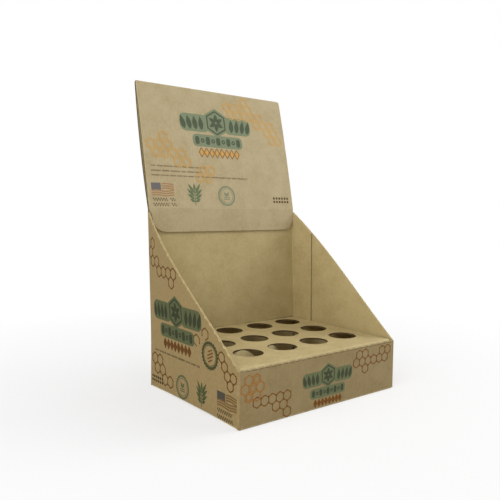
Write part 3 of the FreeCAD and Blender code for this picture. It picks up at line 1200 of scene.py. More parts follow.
    def cut_fluting(self) -> list[Sheet]:
        """The fluting in the top edges of the side walls and the front wall.

        Returns:
            Its middle surface in each edge.
        """
        sheets = []
        low, high = self.diagonal()
        ahead = unit(high - low)
        margin = self.board.flute_margin
        for side in Side:
            y = np.arange(low[0] + margin, high[0] - margin, self.board.flute_step)
            z = self.slope_height(y)
            edge = np.stack([self.side(side, y, z), y, z], -1)
            out = np.broadcast_to([0.0, -ahead[1], ahead[0]], edge.shape)
            face = np.broadcast_to([float(side.value), 0.0, 0.0], edge.shape)
            sheets.append(self.board.fluting(edge, face, out, y))
        x = np.arange(-self.half + margin, self.half - margin, self.board.flute_step)
        middle = np.full_like(x, -self.depth / 2 + self.board.thickness / 2)
        edge = np.stack([x, middle, np.full_like(x, self.front_height)], -1)
        out = np.broadcast_to([0.0, 0.0, 1.0], edge.shape)
        face = np.broadcast_to([0.0, -1.0, 0.0], edge.shape)
        sheets.append(self.board.fluting(edge, face, out, x))
        return sheets

    def build(self) -> None:
        """Make the walls with the bottom, and the fluting in their torn edges."""
        sheets = [self.walls()]
        sheets += [self.end_flap(end) for end in End]
        sheets += [self.side_flap(side) for side in Side]
        blank = Sheet.join(sheets).thicken("folded_box", self.board.levels(), self.board.groove)
        # painted shade: the left wall passes to its darker, more saturated tone
        inside = -blank.points[:, 0] - self.half + self.left_shade_start
        blank.shaded = np.clip(inside / self.left_shade_run, 0, self.left_shade)
        piece = blank.piece(self.finishes.board(self.finishes.printed, self.finishes.plain))
        ride(piece, "display_box")
        paper = self.board.flute_paper / 2
        fluting = Sheet.join(self.cut_fluting()).thicken("box_fluting", [paper, -paper])
        ride(fluting.piece([self.finishes.flute]))


@dataclass
class Header:
    """The header: the back wall's upper part, folded over at the top and tucked in below."""

    box: Box
    finishes: Finishes
    relief: float = 1.0
    length: float = 122.0
    tilt: float = 13.0
    bulge: float = 2.4
    front_bulge: float = 0.9
    fold_inside: float = 0.5
    left_corner: float = 1.0
    right_corner: float = 4.0
    crease_rise: float = 3.5
    tuck_length: float = 22.5
    tuck_corner: float = 14.0
    tuck_taper: float = 2.6
    tuck_gap: float = 0.6
    columns: int = 90
    tuck_step: float = 1.2
    panel_step: float = 3.0
    # wear of the lower crease, the top fold and the hinge crease
    crease_wear: float = 0.35
    top_wear: float = 0.6
    hinge_wear: float = 0.3
    # the tuck's end slants over this length; the back layer's edges are in shadow from this far
    # past the top; its face passes from the header's lighter tone, painted light, to the walls'
    # darker tone from one distance past the top to another before its end
    taper_length: float = 8.0
    shadow_start: float = 3.0
    shade_start: float = 6.0
    shade_end: float = 10.0

    @property
    def lean(self) -> float:
        """The back wall's lean in degrees."""
        free = self.box.back_height - self.box.front_height
        return math.degrees(math.atan(self.box.back_lean / free))

    @property
    def left(self) -> float:
        """X of the left edge."""
        return -self.box.half + self.relief

    @property
    def right(self) -> float:
        """X of the right edge: the back panel is narrower by the board of the right wall."""
        return self.box.flap_outside - self.relief

    @property
    def crease(self) -> np.ndarray:
        """Place (y, z) of the lower crease on the middle surface, in front of the back wall."""
        board = self.box.board
        z = self.box.back_height + self.crease_rise
        run, rise = direction(90 - self.lean)
        middle = self.box.depth / 2 - board.thickness / 2
        y = middle + (z - self.box.front_height) * run / rise - (board.thickness + self.tuck_gap) / rise
        return np.array([y, z])

    def profile(self) -> Profile:
        """Walk the header from the tuck flap's end to the hinge.

        The back is one shallow arc that is tangent to the top fold and to the hinge crease; its
        centre lies where the two circles of centres meet.

        Returns:
            The walked profile.
        """
        board = self.box.board
        start = self.crease - self.tuck_length * direction(90 - self.lean)
        walk = Profile(start, 90 - self.lean, self.tuck_step)
        walk.forward(self.tuck_length)
        walk.step = self.panel_step
        walk.turn(board.fold, self.lean - self.tilt, self.crease_wear)
        walk.forward(self.length, self.front_bulge)
        fold = self.fold_inside + board.thickness / 2
        top_centre = walk.place + direction(walk.heading - 90) * fold
        middle = self.box.depth / 2 - board.thickness / 2
        run, rise = direction(90 - self.lean)
        above = self.box.back_height + board.thickness
        hinge = np.array([middle + (above - self.box.front_height) * run / rise, above])
        hinge_centre = hinge + board.fold * direction(-self.lean)
        chord = hinge_centre - top_centre
        apart = float(np.linalg.norm(chord))
        radius = apart**2 / (8 * self.bulge) + self.bulge / 2
        near, far = radius - fold, radius + board.fold
        reach = (near**2 - far**2 + apart**2) / (2 * apart)
        aside = math.sqrt(near**2 - reach**2)
        along = chord / apart
        centre = top_centre + along * reach + np.array([along[1], -along[0]]) * aside
        first, last = (
            math.degrees(math.atan2(p[1] - centre[1], p[0] - centre[0])) - 90
            for p in (top_centre, hinge_centre)
        )
        walk.turn(fold, first - walk.heading, self.top_wear, 2 * FOLD_SAMPLES - 1)
        walk.turn(radius, last - first, 0.0, 40)
        walk.turn(board.fold, -90 - self.lean - last, self.hinge_wear)
        end = [middle + self.box.back_lean, self.box.back_height]
        walk.keep(np.array([walk.place, end]), np.zeros(2))
        return walk

    def sheet(self) -> Sheet:
        """The whole header: the profile carried from right to left, with its corners rounded.

        Returns:
            Its middle surface.
        """
        line, along, worn = self.profile().line()
        rise = direction(90 - self.tilt)
        heights = line @ rise
        from_top = heights.max() + self.box.board.thickness / 2 - heights
        inset = rounded_inset(along, self.tuck_corner)
        taper = self.tuck_taper * np.clip((self.tuck_length - along) / self.taper_length, 0, 1)
        share = np.linspace(0, 1, self.columns)[None, :]
        left = (self.left + inset + taper + rounded_inset(from_top, self.left_corner))[:, None]
        right = (self.right - inset - rounded_inset(from_top, self.right_corner))[:, None]
        x = right + (left - right) * share
        points = np.stack(np.broadcast_arrays(x, line[:, :1], line[:, 1:]), -1)
        flat = np.stack(np.broadcast_arrays(x, along[:, None]), -1)
        worn = np.repeat(worn[:, None], self.columns, 1)
        # the back layer's edges lie in the shadow of the front one
        back = along > self.tuck_length + self.length + self.shadow_start
        worn[np.ix_(back, [0, -1])] = -1.0
        return Sheet.grid(points, flat, worn)

    def outer_front(self, x: np.ndarray, up: np.ndarray) -> np.ndarray:
        """Printed face of the front panel: a straight line with a shallow parabola on it.

        Args:
            x: places across.
            up: distances up from the lower crease.

        Returns:
            The places in space.
        """
        out = direction(180 - self.tilt)
        bow = self.front_bulge * 4 * up / self.length * (1 - up / self.length)
        base = self.crease + out * self.box.board.thickness / 2
        place = base + direction(90 - self.tilt) * up[..., None] + out * bow[..., None]
        return np.stack([x, place[..., 0], place[..., 1]], -1)

    def shade_share(self, solid: SolidSheet) -> np.ndarray:
        """How far the printed face has passed from its lighter tone, which is painted light, to the
        walls' darker tone: down the back.

        Args:
            solid: the header.

        Returns:
            A share from 0 to 1 at each of its points.
        """
        walked = solid.flat[:, 1]
        top = self.tuck_length + self.length
        run = self.length - self.shade_start - self.shade_end
        return np.clip((walked - top - self.shade_start) / run, 0, 1)

    def cut_fluting(self) -> Sheet:
        """The fluting in the tuck flap's lower edge.

        Returns:
            Its middle surface.
        """
        step = self.box.board.flute_step
        x = np.arange(self.left + self.tuck_corner, self.right - self.tuck_corner, step)
        run = direction(90 - self.lean)
        end = self.crease - self.tuck_length * run
        edge = np.stack([x, np.full_like(x, end[0]), np.full_like(x, end[1])], -1)
        out = np.broadcast_to([0.0, -run[0], -run[1]], edge.shape)
        face = np.broadcast_to([0.0, -run[1], run[0]], edge.shape)
        return self.box.board.fluting(edge, face, out, x)

    def build(self) -> None:
        """Make the header and the fluting in its cut edge."""
        board = self.box.board
        solid = self.sheet().thicken("header", board.levels(), board.groove)
        solid.shaded = self.shade_share(solid)
        dress = self.finishes
        piece = solid.piece([dress.header, dress.plain, dress.header_edge, dress.header_hollow])
        ride(piece)
        paper = board.flute_paper / 2
        fluting = self.cut_fluting().thicken("header_fluting", [paper, -paper])
        ride(fluting.piece([dress.flute]))


@dataclass
class Shelf:
    """The shelf: a plate with a grid of round holes and four flanges folded down."""

    box: Box
    finishes: Finishes
    rise: float = 1.5
    gap: float = 0.4
    hole_radius: float = 13.0
    columns: int = 4
    rows: int = 3
    column_pitch: float = 37.5
    row_pitch: float = 39.5
    right_shift: float = 4.0
    back_shift: float = 9.0
    taper: float = 1.5
    around: int = 16
    sag: float = 0.5
    flange_rows: int = 16
    fold_wear: float = 0.12
    # a hanging disc is this much smaller than its hole, and its hinge lies this far inside it
    disc_gap: float = 0.6
    disc_hinge: float = 0.4
    # for each hanging disc its hole in the front row, the heading of its hinge and its drop
    discs: tuple[tuple[int, float, float], ...] = ((0, 80.0, 62.0), (1, 108.0, 80.0))

    @property
    def top(self) -> float:
        """Height of the plate's upper face."""
        return self.box.front_height + self.rise

    @property
    def middle(self) -> float:
        """Height of the plate's middle surface at its folds."""
        return self.top - self.box.board.thickness / 2

    def reach(self) -> tuple[float, float, float]:
        """X of the left and right folds' inner ends, and Y of the front and back ones."""
        fold = self.box.board.fold_outside
        left = -self.box.half + self.box.board.thickness + self.gap + fold
        right = self.box.flap_outside - self.box.board.thickness - self.gap - fold
        deep = self.box.depth / 2 - self.box.board.thickness - self.gap - fold
        return left, right, deep

    def height(self, x: np.ndarray, y: np.ndarray) -> np.ndarray:
        """Middle surface of the plate: level at the folds, with a sag that is a parabola both ways.

        Args:
            x: places from left to right.
            y: places from front to back.

        Returns:
            Height at each place.
        """
        left, right, deep = self.reach()
        u = np.clip((x - left) / (right - left), 0, 1)
        v = np.clip((y + deep) / (2 * deep), 0, 1)
        return self.middle - self.sag * 16 * u * (1 - u) * v * (1 - v)

    def cell(self, centre: np.ndarray) -> Sheet:
        """A hole's cell: rays from the hole's circle out to the cell's four straight sides.

        Args:
            centre: the hole's centre.

        Returns:
            The cell's middle surface.
        """
        wide, deep = self.column_pitch / 2, self.row_pitch / 2
        side = np.linspace(-1, 1, self.around + 1)[:-1]
        one = np.ones_like(side)
        sides = ((one, side), (-side, one), (-one, -side), (side, -one))
        rim = np.concatenate([np.stack(places, -1) for places in sides])
        rim = np.concatenate([rim, rim[:1]]) * [wide, deep]
        circle = unit(rim) * self.hole_radius
        share = np.linspace(0, 1, 5)[:, None, None]
        place = centre + circle + (rim - circle) * share
        cell = self.lay(place[..., 0], place[..., 1])
        # painted shade: the edge of a hole is darkened for the shadow in it
        cell.worn = np.where(np.arange(len(cell.points)) < len(rim), -1.0, 0.0)
        return cell

    def waste_disc(self, centre: np.ndarray, hinge: float, drop: float) -> Sheet:
        """A punched disc that still hangs by its edge: it turns down about a tangent of its hole.

        A point at u along the tangent and v from the hinge lies at hinge + u * tangent
        + v * (inwards * cos(drop) + downwards * sin(drop)).

        Args:
            centre: the hole's centre.
            hinge: heading from the centre to the hinge, in degrees.
            drop: how far the disc has turned down, in degrees.

        Returns:
            The disc's middle surface.
        """
        radius = self.hole_radius - self.disc_gap
        disc = polar(np.array(radius), 0.0, 40)
        u, v = disc[..., 0], disc[..., 1] + radius
        outward, tangent = direction(hinge), direction(hinge + 90)
        into, down = math.cos(math.radians(drop)), math.sin(math.radians(drop))
        foot = centre + outward * (self.hole_radius - self.disc_hinge)
        place = foot + u[..., None] * tangent - v[..., None] * outward * into
        height = self.middle - self.sag - v * down
        return Sheet.grid(np.concatenate([place, height[..., None]], -1), disc)

    def lay(self, x: np.ndarray, y: np.ndarray) -> Sheet:
        """A stretch of the plate, with its outside upwards."""
        return Sheet.grid(np.stack([x, y, self.height(x, y)], -1), np.stack([x, y], -1))

    def plate(self) -> tuple[list[Sheet], np.ndarray, np.ndarray]:
        """The cells and the margins round them.

        Returns:
            The sheets, and the X and Y samples along the plate's edges.
        """
        left, right, deep = self.reach()
        wide, long = self.columns * self.column_pitch, self.rows * self.row_pitch
        low = np.array([self.right_shift - wide / 2, self.back_shift - long / 2])
        grid_x = low[0] + np.linspace(0, 1, self.columns * self.around + 1) * wide
        grid_y = low[1] + np.linspace(0, 1, self.rows * self.around + 1) * long
        pitch = np.array([self.column_pitch, self.row_pitch])
        sheets = [
            self.cell(low + (np.array([column, row]) + 0.5) * pitch)
            for row in range(self.rows)
            for column in range(self.columns)
        ]
        before, after = np.linspace(left, grid_x[0], 7), np.linspace(grid_x[-1], right, 7)
        front, rear = np.linspace(-deep, grid_y[0], 9), np.linspace(grid_y[-1], deep, 5)
        all_x = np.concatenate([before[:-1], grid_x, after[1:]])
        all_y = np.concatenate([front[:-1], grid_y, rear[1:]])
        for xs, ys in ((all_x, front), (all_x, rear), (before, grid_y), (after, grid_y)):
            sheets.append(self.lay(*np.meshgrid(xs, ys, indexing="ij")))
        return sheets, all_x, all_y

    def flange_line(self) -> tuple[np.ndarray, np.ndarray]:
        """A flange from its foot up and round its fold, a quarter circle.

        Returns:
            Distances out from the fold's inner end, and heights.
        """
        board = self.box.board
        start = self.top - board.fold_outside
        straight = np.linspace(2 * board.thickness, start, self.flange_rows)
        angle = np.linspace(0, math.pi / 2, FOLD_SAMPLES)[1:]
        out = np.concatenate([np.full(self.flange_rows, board.fold), board.fold * np.cos(angle)])
        return out, np.concatenate([straight, start + board.fold * np.sin(angle)])

    def flanges(self, xs: np.ndarray, ys: np.ndarray) -> list[Sheet]:
        """The four flanges, each along its edge of the plate; the side ones taper to their foot.

        Args:
            xs: X samples along the plate's front and back edges.
            ys: Y samples along its side edges.

        Returns:
            Their middle surfaces.
        """
        left, right, deep = self.reach()
        out, up = self.flange_line()
        worn = np.where(np.arange(len(out)) < self.flange_rows, 0.0, self.fold_wear)
        edge = self.flange_rows - 1
        sheets = []
        for end in End:
            order = slice(None) if end is End.FRONT else slice(None, None, -1)
            x, y, z = np.broadcast_arrays(xs[:, None], end.value * (deep + out[order]), up[order])
            flat = np.stack([x, y + z], -1)
            sheets.append(Sheet.grid(np.stack([x, y, z], -1), flat, worn[order][None]))
        for side in Side:
            order = slice(None) if side is Side.LEFT else slice(None, None, -1)
            fold = left if side is Side.LEFT else right
            drop = np.clip((up[edge] - up[order]) / (up[edge] - up[0]), 0, 1)[:, None]
            y = ys[None] * (1 - self.taper / deep * drop)
            x = np.broadcast_to((fold + side.value * out[order])[:, None], y.shape)
            z = np.broadcast_to(up[order][:, None], y.shape)
            flat = np.stack([y, x + z], -1)
            sheets.append(Sheet.grid(np.stack([x, y, z], -1), flat, worn[order][:, None]))
        return sheets

    def corners(self) -> list[Sheet]:
        """The pressed corners between the folds of the flanges: an eighth of a sphere each.

        Returns:
            Their middle surfaces.
        """
        left, right, deep = self.reach()
        fold = self.box.board.fold
        rise = np.linspace(0, math.pi / 2, FOLD_SAMPLES)
        sheets = []
        for side in Side:
            for end in End:
                outwards = side.value * end.value > 0
                around, up = np.meshgrid(rise, rise, indexing="ij" if outwards else "xy")
                centre = left if side is Side.LEFT else right
                x = centre + side.value * fold * np.cos(up) * np.cos(around)
                y = end.value * (deep + fold * np.cos(up) * np.sin(around))
                z = self.top - self.box.board.fold_outside + fold * np.sin(up)
                sheets.append(Sheet.grid(np.stack([x, y, z], -1), np.stack([x, y], -1)))
        return sheets

    def build(self) -> None:
        """Make the shelf."""
        sheets, xs, ys = self.plate()
        for column, hinge, drop in self.discs:
            x = (column - (self.columns - 1) / 2) * self.column_pitch + self.right_shift
            y = (1 - self.rows) / 2 * self.row_pitch + self.back_shift
            sheets.append(self.waste_disc(np.array([x, y]), hinge, drop))
        blank = Sheet.join(sheets + self.flanges(xs, ys) + self.corners())
        solid = blank.thicken("hole_shelf_board", self.box.board.levels(), self.box.board.groove)
        piece = solid.piece(self.finishes.board(self.finishes.shelf, self.finishes.plain))
        ride(piece, "hole_shelf")


# Flat shapes for the print: grids of places in millimetres, x to the right and y up as seen from
# outside, with steps short enough to follow a bowed wall.
STEP = 4.0


def bar(width: float, height: float, radius: float) -> np.ndarray:
    """A bar with rounded corners: near each end its half height falls along a quarter circle.

    Args:
        width: its whole width.
        height: its whole height.
        radius: radius of its corners, less than half the width.

    Returns:
        The grid.
    """
    turn = np.linspace(0.0, math.pi / 2, 7)
    corner_x = width / 2 - radius + radius * np.sin(turn)
    corner_half = height / 2 - radius + radius * np.cos(turn)
    middle = np.linspace(radius - width / 2, width / 2 - radius, max(2, int(width / STEP) + 2))[1:-1]
    x = np.concatenate([-corner_x[::-1], middle, corner_x])
    half = np.concatenate([corner_half[::-1], np.full(len(middle), height / 2), corner_half])
    across = np.linspace(-1, 1, max(2, int(height / STEP) + 2))
    return np.stack([np.broadcast_to(x[:, None], (len(x), len(across))), half[:, None] * across], -1)


def leaflet(length: float, width: float) -> np.ndarray:
    """A pointed leaf from the origin along y: its half width is a sine, fullest below the middle.

    Args:
        length: its length.
        width: its width.

    Returns:
        The grid.
    """
    along = np.linspace(0, 1, 11)
    half = width / 2 * np.sin(math.pi * along**0.8)
    half[[0, -1]] = 0
    across = np.array([-1.0, 0.0, 1.0])
    y = np.broadcast_to(length * along, (3, 11))
    return np.stack([half * across[:, None], y], -1)


def polar(outer: np.ndarray | float, inner: np.ndarray | float = 0.0, count: int = 48) -> np.ndarray:
    """A disc, or a ring where inner isn't zero: rows from the inner to the outer radius.

    Args:
        outer: outer radius, one for all or one for each angle.
        inner: inner radius, in the same way.
        count: number of steps round it.

    Returns:
        The grid.
    """
    angle = np.linspace(0, 2 * math.pi, count + 1) + math.pi / 2
    radii = np.stack([np.broadcast_to(inner, angle.shape), np.broadcast_to(outer, angle.shape)])
    return radii[..., None] * np.stack([np.cos(angle), np.sin(angle)], -1)


def hexagon(radius: float) -> np.ndarray:
    """Radii of a hexagon with a point on top, for polar(): its flat sides are straight lines."""
    angle = np.linspace(0, 2 * math.pi, 49) % (math.pi / 3) - math.pi / 6
    return radius * math.cos(math.pi / 6) / np.cos(angle)


def wave(length: float, height: float, swing: float, period: float) -> np.ndarray:
    """A band whose middle line is a sine, from the origin along x.

    Args:
        length: its length.
        height: its width across the line.
        swing: the sine's height.
        period: length of one wave.

    Returns:
        The grid.
    """
    x = np.linspace(0, length, max(8, int(length / min(1.2, period / 8))))
    y = swing * np.sin(x * 2 * math.pi / period)
    across = np.array([-0.5, 0.5]) * height
    return np.stack([np.broadcast_to(x[:, None], (len(x), 2)), y[:, None] + across], -1)


def honeycomb(cells: Cells, pitch: float, line: float, knot: float, missing: float,
              seed: int) -> np.ndarray:
    """The walls of a patch of honeycomb, each once.

    Cell (q, r) has its centre at pitch * (q + r / 2, r * sqrt(3) / 2). A wall is a line whose two
    ends are pointed, so that three of them close a corner without overlap.

    Args:
        cells: the cells.
        pitch: distance between the centres of neighbours.
        line: width of a wall in its middle.
        knot: how much wider it is near its ends.
        missing: share of the walls that the foil didn't take.
        seed: seed of that choice.

    Returns:
        (walls, stations, 2, 2) grids.
    """
    place = np.array(cells, float)
    centres = pitch * np.stack([place[:, 0] + place[:, 1] / 2, place[:, 1] * math.sqrt(3) / 2], -1)
    corners = centres[:, None] + pitch / math.sqrt(3) * direction(90 + 60 * np.arange(6))
    start, end = corners.reshape(-1, 2), np.roll(corners, -1, 1).reshape(-1, 2)
    # two cells' walls are one where their middles fall into the same small square
    middles = np.round((start + end) / pitch * 8).astype(int)
    once = np.unique(middles, axis=0, return_index=True)[1]
    once = once[np.random.default_rng(seed).random(len(once)) >= missing]
    start, end = start[once], end[once]
    ahead = unit(end - start)
    aside = np.stack([-ahead[:, 1], ahead[:, 0]], -1) * line / 2
    length = pitch / math.sqrt(3)
    shoulder = knot * line / 2 / math.tan(math.pi / 3)
    near = np.array([0, shoulder, 3.5 * shoulder])
    stations = np.concatenate([near, [length / 2], length - near[::-1]])
    middle = start[:, None] + ahead[:, None] * stations[:, None]
    wide = np.array([0, knot, 1, 1, 1, knot, 0])[:, None, None] * np.array([-1, 1])[:, None]
    return middle[:, :, None] + aside[:, None, None] * wide


def placed(shape: np.ndarray, x: float, y: float, turn: float = 0.0, scale: float = 1.0) -> np.ndarray:
    """Turn a flat shape, scale it and move it.

    Args:
        shape: the grid.
        x, y: where its origin goes.
        turn: degrees, anticlockwise.
        scale: how many times as large it becomes.

    Returns:
        The new grid.
    """
    ahead, up = direction(turn), direction(turn + 90)
    return np.array([x, y]) + scale * (shape[..., :1] * ahead + shape[..., 1:] * up)


@dataclass
class Print:
    """The print on one panel: thin layers of ink and foil that follow the panel's own form.

    Attributes:
        name: the panel's name.
        surface: the panel's outer face, from flat places to places in space.
        finishes: all finishes.
        tone: the painted shade of the panel's inks.
        shapes: for each ink, the flat grids that it prints.
        ink_depth: how far a print reaches into the board, so that no gap shows.
        film: height of an ink over the board.
        lift: step between overlapping shapes of one ink, which must not lie in one plane.
        overprint: height of the inks that lie over others.
        upper_inks: those inks.
    """

    name: str
    surface: Surface
    finishes: Finishes
    tone: PrintShade
    shapes: dict[str, list[np.ndarray]] = field(default_factory=dict)
    ink_depth: float = 0.05
    film: float = 0.05
    lift: float = 0.012
    overprint: float = 0.12
    upper_inks: tuple[str, ...] = ("pine", "russet", "gold", "copper")

    def stamp(self, ink: str, shape: np.ndarray) -> None:
        """Add a flat shape to an ink."""
        self.shapes.setdefault(ink, []).append(shape)

    def build(self) -> None:
        """Make one piece for each ink."""
        for ink, shapes in self.shapes.items():
            top = self.overprint if ink in self.upper_inks else self.film
            sheets = [Sheet.grid(self.surface(s[..., 0], s[..., 1]), s) for s in shapes]
            for index, sheet in enumerate(sheets):
                sheet.points = sheet.points + sheet.normals() * (index % 5) * self.lift
            solid = Sheet.join(sheets).thicken(f"{self.name}_{ink}_print", [top, -self.ink_depth])
            ride(solid.piece([self.finishes.inks[self.tone][ink]]))

    def comb(self, ink: str, x: float, y: float, pitch: float, cells: Cells, missing: float = 0.0,
             line: float = 0.9, knot: float = 1.8) -> None:
        """Print a patch of honeycomb.

        Args:
            ink: the ink.
            x, y: centre of its cell (0, 0).
            pitch: distance between the centres of neighbours.
            cells: the cells.
            missing: share of the walls that is left out.
            line: width of a wall.
            knot: how much wider it is near its ends.
        """
        walls = honeycomb(cells, pitch, line, knot, missing, len(cells))
        self.stamp(ink, placed(walls, x, y))

    def inlay(self, ink: str, x: float, y: float, pitch: float, cells: Cells) -> None:
        """Print a fine hexagon inside each of these cells of a patch of honeycomb.

        Args:
            ink: the ink.
            x, y: centre of the patch's cell (0, 0).
            pitch: distance between the centres of neighbours.
            cells: the cells.
        """
        ring = polar(hexagon(pitch * 0.4), hexagon(pitch * 0.4 - 0.6))
        for column, row in cells:
            up = pitch * row * math.sqrt(3) / 2
            self.stamp(ink, placed(ring, x + pitch * (column + row / 2), y + up))

    def emblem(self, x: float, y: float, scale: float, accent: str) -> None:
        """Print the title block: a medallion, two wings of leaves, a bar and a row of lozenges.

        Args:
            x: middle of the block.
            y: its line between the wings and the bar.
            scale: its size, one on the header.
            accent: the ink of the lozenges.
        """
        def put(ink: str, shape: np.ndarray, across: float, up: float, turn: float = 0.0) -> None:
            """Stamp a shape at its place in the block."""
            self.stamp(ink, placed(placed(shape, across, up, turn), x, y, 0.0, scale))

        put("sage", polar(hexagon(15.5)), 0, 10.5)
        put("pine", polar(hexagon(13.2), hexagon(11.4)), 0, 10.5)
        for petal in range(6):
            put("pine", placed(leaflet(8.6, 4.4), 0, 0.9), 0, 10.5, 60 * petal)
        for side in (-1, 1):
            put("sage", bar(34.0, 18.5, 6.5), side * 26.5, 8.5)
            for step in range(4):
                put("pine", leaflet(14.5, 5.6), side * (18.4 + 6.6 * step), 1.4, -side * (3 + 4 * step))
        put("sage", bar(61.0, 12.8, 4.5), 0, -9.6)
        for step in range(9):
            across = (step - 4) * 6.3
            if step % 2:
                put("pine", polar(2.3, 0.9, 16), across, -9.6)
            else:
                put("pine", bar(4.9, 8.4, 2.3), across, -9.6)
        lozenge = np.array([[[-2.3, 0], [-2.3, 0]], [[0, -3.9], [0, 3.9]], [[2.3, 0], [2.3, 0]]], float)
        for step in range(8):
            across = (step - 3.5) * 6.2
            put(accent, lozenge, across, -22.0)
            for start in range(4):
                ends = direction(90 * start) * [3.0, 4.9], direction(90 * start + 90) * [3.0, 4.9]
                put("russet", rule(ends[0], ends[1], 0.7), across, -22.0)

    def sprig(self, x: float, y: float, height: float) -> None:
        """Print a leaf sprig: a stem with pairs of slim leaflets that stand apart.

        Args:
            x, y: the stem's foot.
            height: the sprig's height.
        """
        share = height / 21
        self.stamp("leaf", placed(bar(0.9, 16.0, 0.4), x, y + 8.0 * share, 0, share))
        self.stamp("leaf", placed(leaflet(7.5, 2.8), x, y + 13.8 * share, 0, share))
        for up, long, lean in ((3.4, 6.0, 62), (6.0, 9.4, 56), (8.8, 11.0, 47), (11.6, 11.4, 33)):
            for side in (-1, 1):
                leaf = leaflet(long, 2.9)
                self.stamp("leaf", placed(leaf, x + side * 0.6, y + up * share, -side * lean, share))

    def seal(self, x: float, y: float, radius: float) -> None:
        """Print a round seal: a heavy and a fine ring round a small leaf and two short rules.

        Args:
            x, y: its centre.
            radius: its radius.
        """
        self.stamp("sage", placed(polar(radius, radius - 1.7), x, y))
        self.stamp("sage", placed(polar(radius - 2.6, radius - 3.1), x, y))
        for side in (-1, 1):
            self.stamp("sage", placed(bar(radius * 0.7, 0.9, 0.4), x, y - 2.6 - side * 0.9))
            self.stamp("sage", placed(leaflet(5.4, 2.4), x, y - 0.6, side * 32))

    def badge(self, x: float, y: float, radius: float) -> None:
        """Print a toothed badge: its edge is a cosine round a circle, and slanted strokes fill it.

        Args:
            x, y: its centre.
            radius: its radius over the teeth.
        """
        teeth = radius - 0.55 + 0.55 * np.cos(np.linspace(0, 2 * math.pi, 145) * 24)
        self.stamp("olive", placed(polar(teeth, radius - 3.0, 144), x, y))
        self.stamp("olive", placed(polar(radius - 3.4, radius - 4.0), x, y))
        for step in range(4):
            stroke = bar(9.5 - 2.2 * abs(step - 1.5), 1.0, 0.45)
            self.stamp("russet", placed(stroke, x + 0.5, y + (step - 1.5) * 2.7, 24))

    def pennant(self, x: float, y: float, width: float, height: float) -> None:
        """Print a striped patch: a solid field beside and above waving stripes.

        Args:
            x, y: its lower left corner.
            width: its width.
            height: its height.
        """
        pitch = height / 6
        block = bar(width * 0.42, height * 0.56, 0.4)
        self.stamp("slate", placed(block, x + width * 0.21, y + height * 0.72))
        for step in range(6):
            start = width * 0.46 if step > 2 else 0.0
            stripe = wave(width - start, pitch * 0.62, 0.5, width * 0.8)
            self.stamp("brick", placed(stripe, x + start, y + pitch * (step + 0.5)))

    def scribble(self, ink: str, x: float, y: float, length: float, height: float, seed: int) -> None:
        """Print a line of short waves of uneven lengths.

        Args:
            ink: the ink.
            x: where the line starts.
            y: its middle.
            length: its whole length.
            height: height of the waves.
            seed: seed of the lengths.
        """
        random = np.random.default_rng(seed)
        line = 0.26 * height + 0.2
        start = 0.0
        while start < length - height:
            run = min(float(random.uniform(2.6, 6.0)) * height, length - start)
            if run > height * 0.8:
                stroke = wave(run, line, (height - line) / 2, height * 0.75)
                self.stamp(ink, placed(stroke, x + start, y))
            start += run + height * 0.7

    def tally(self, x: float, y: float, pitch: float) -> None:
        """Print two rows of six dots, one for each hole of the shelf."""
        dot = polar(pitch * 0.36, count=16)
        for row in range(2):
            for column in range(6):
                self.stamp("brown", placed(dot, x + column * pitch, y + row * pitch))


def rule(start: np.ndarray, end: np.ndarray, width: float) -> np.ndarray:
    """A straight line.

    Args:
        start: its start.
        end: its end.
        width: its width.

    Returns:
        The grid.
    """
    ahead = unit(end - start)
    aside = np.array([-ahead[1], ahead[0]]) * width / 2
    return np.array([[start - aside, start + aside], [end - aside, end + aside]])


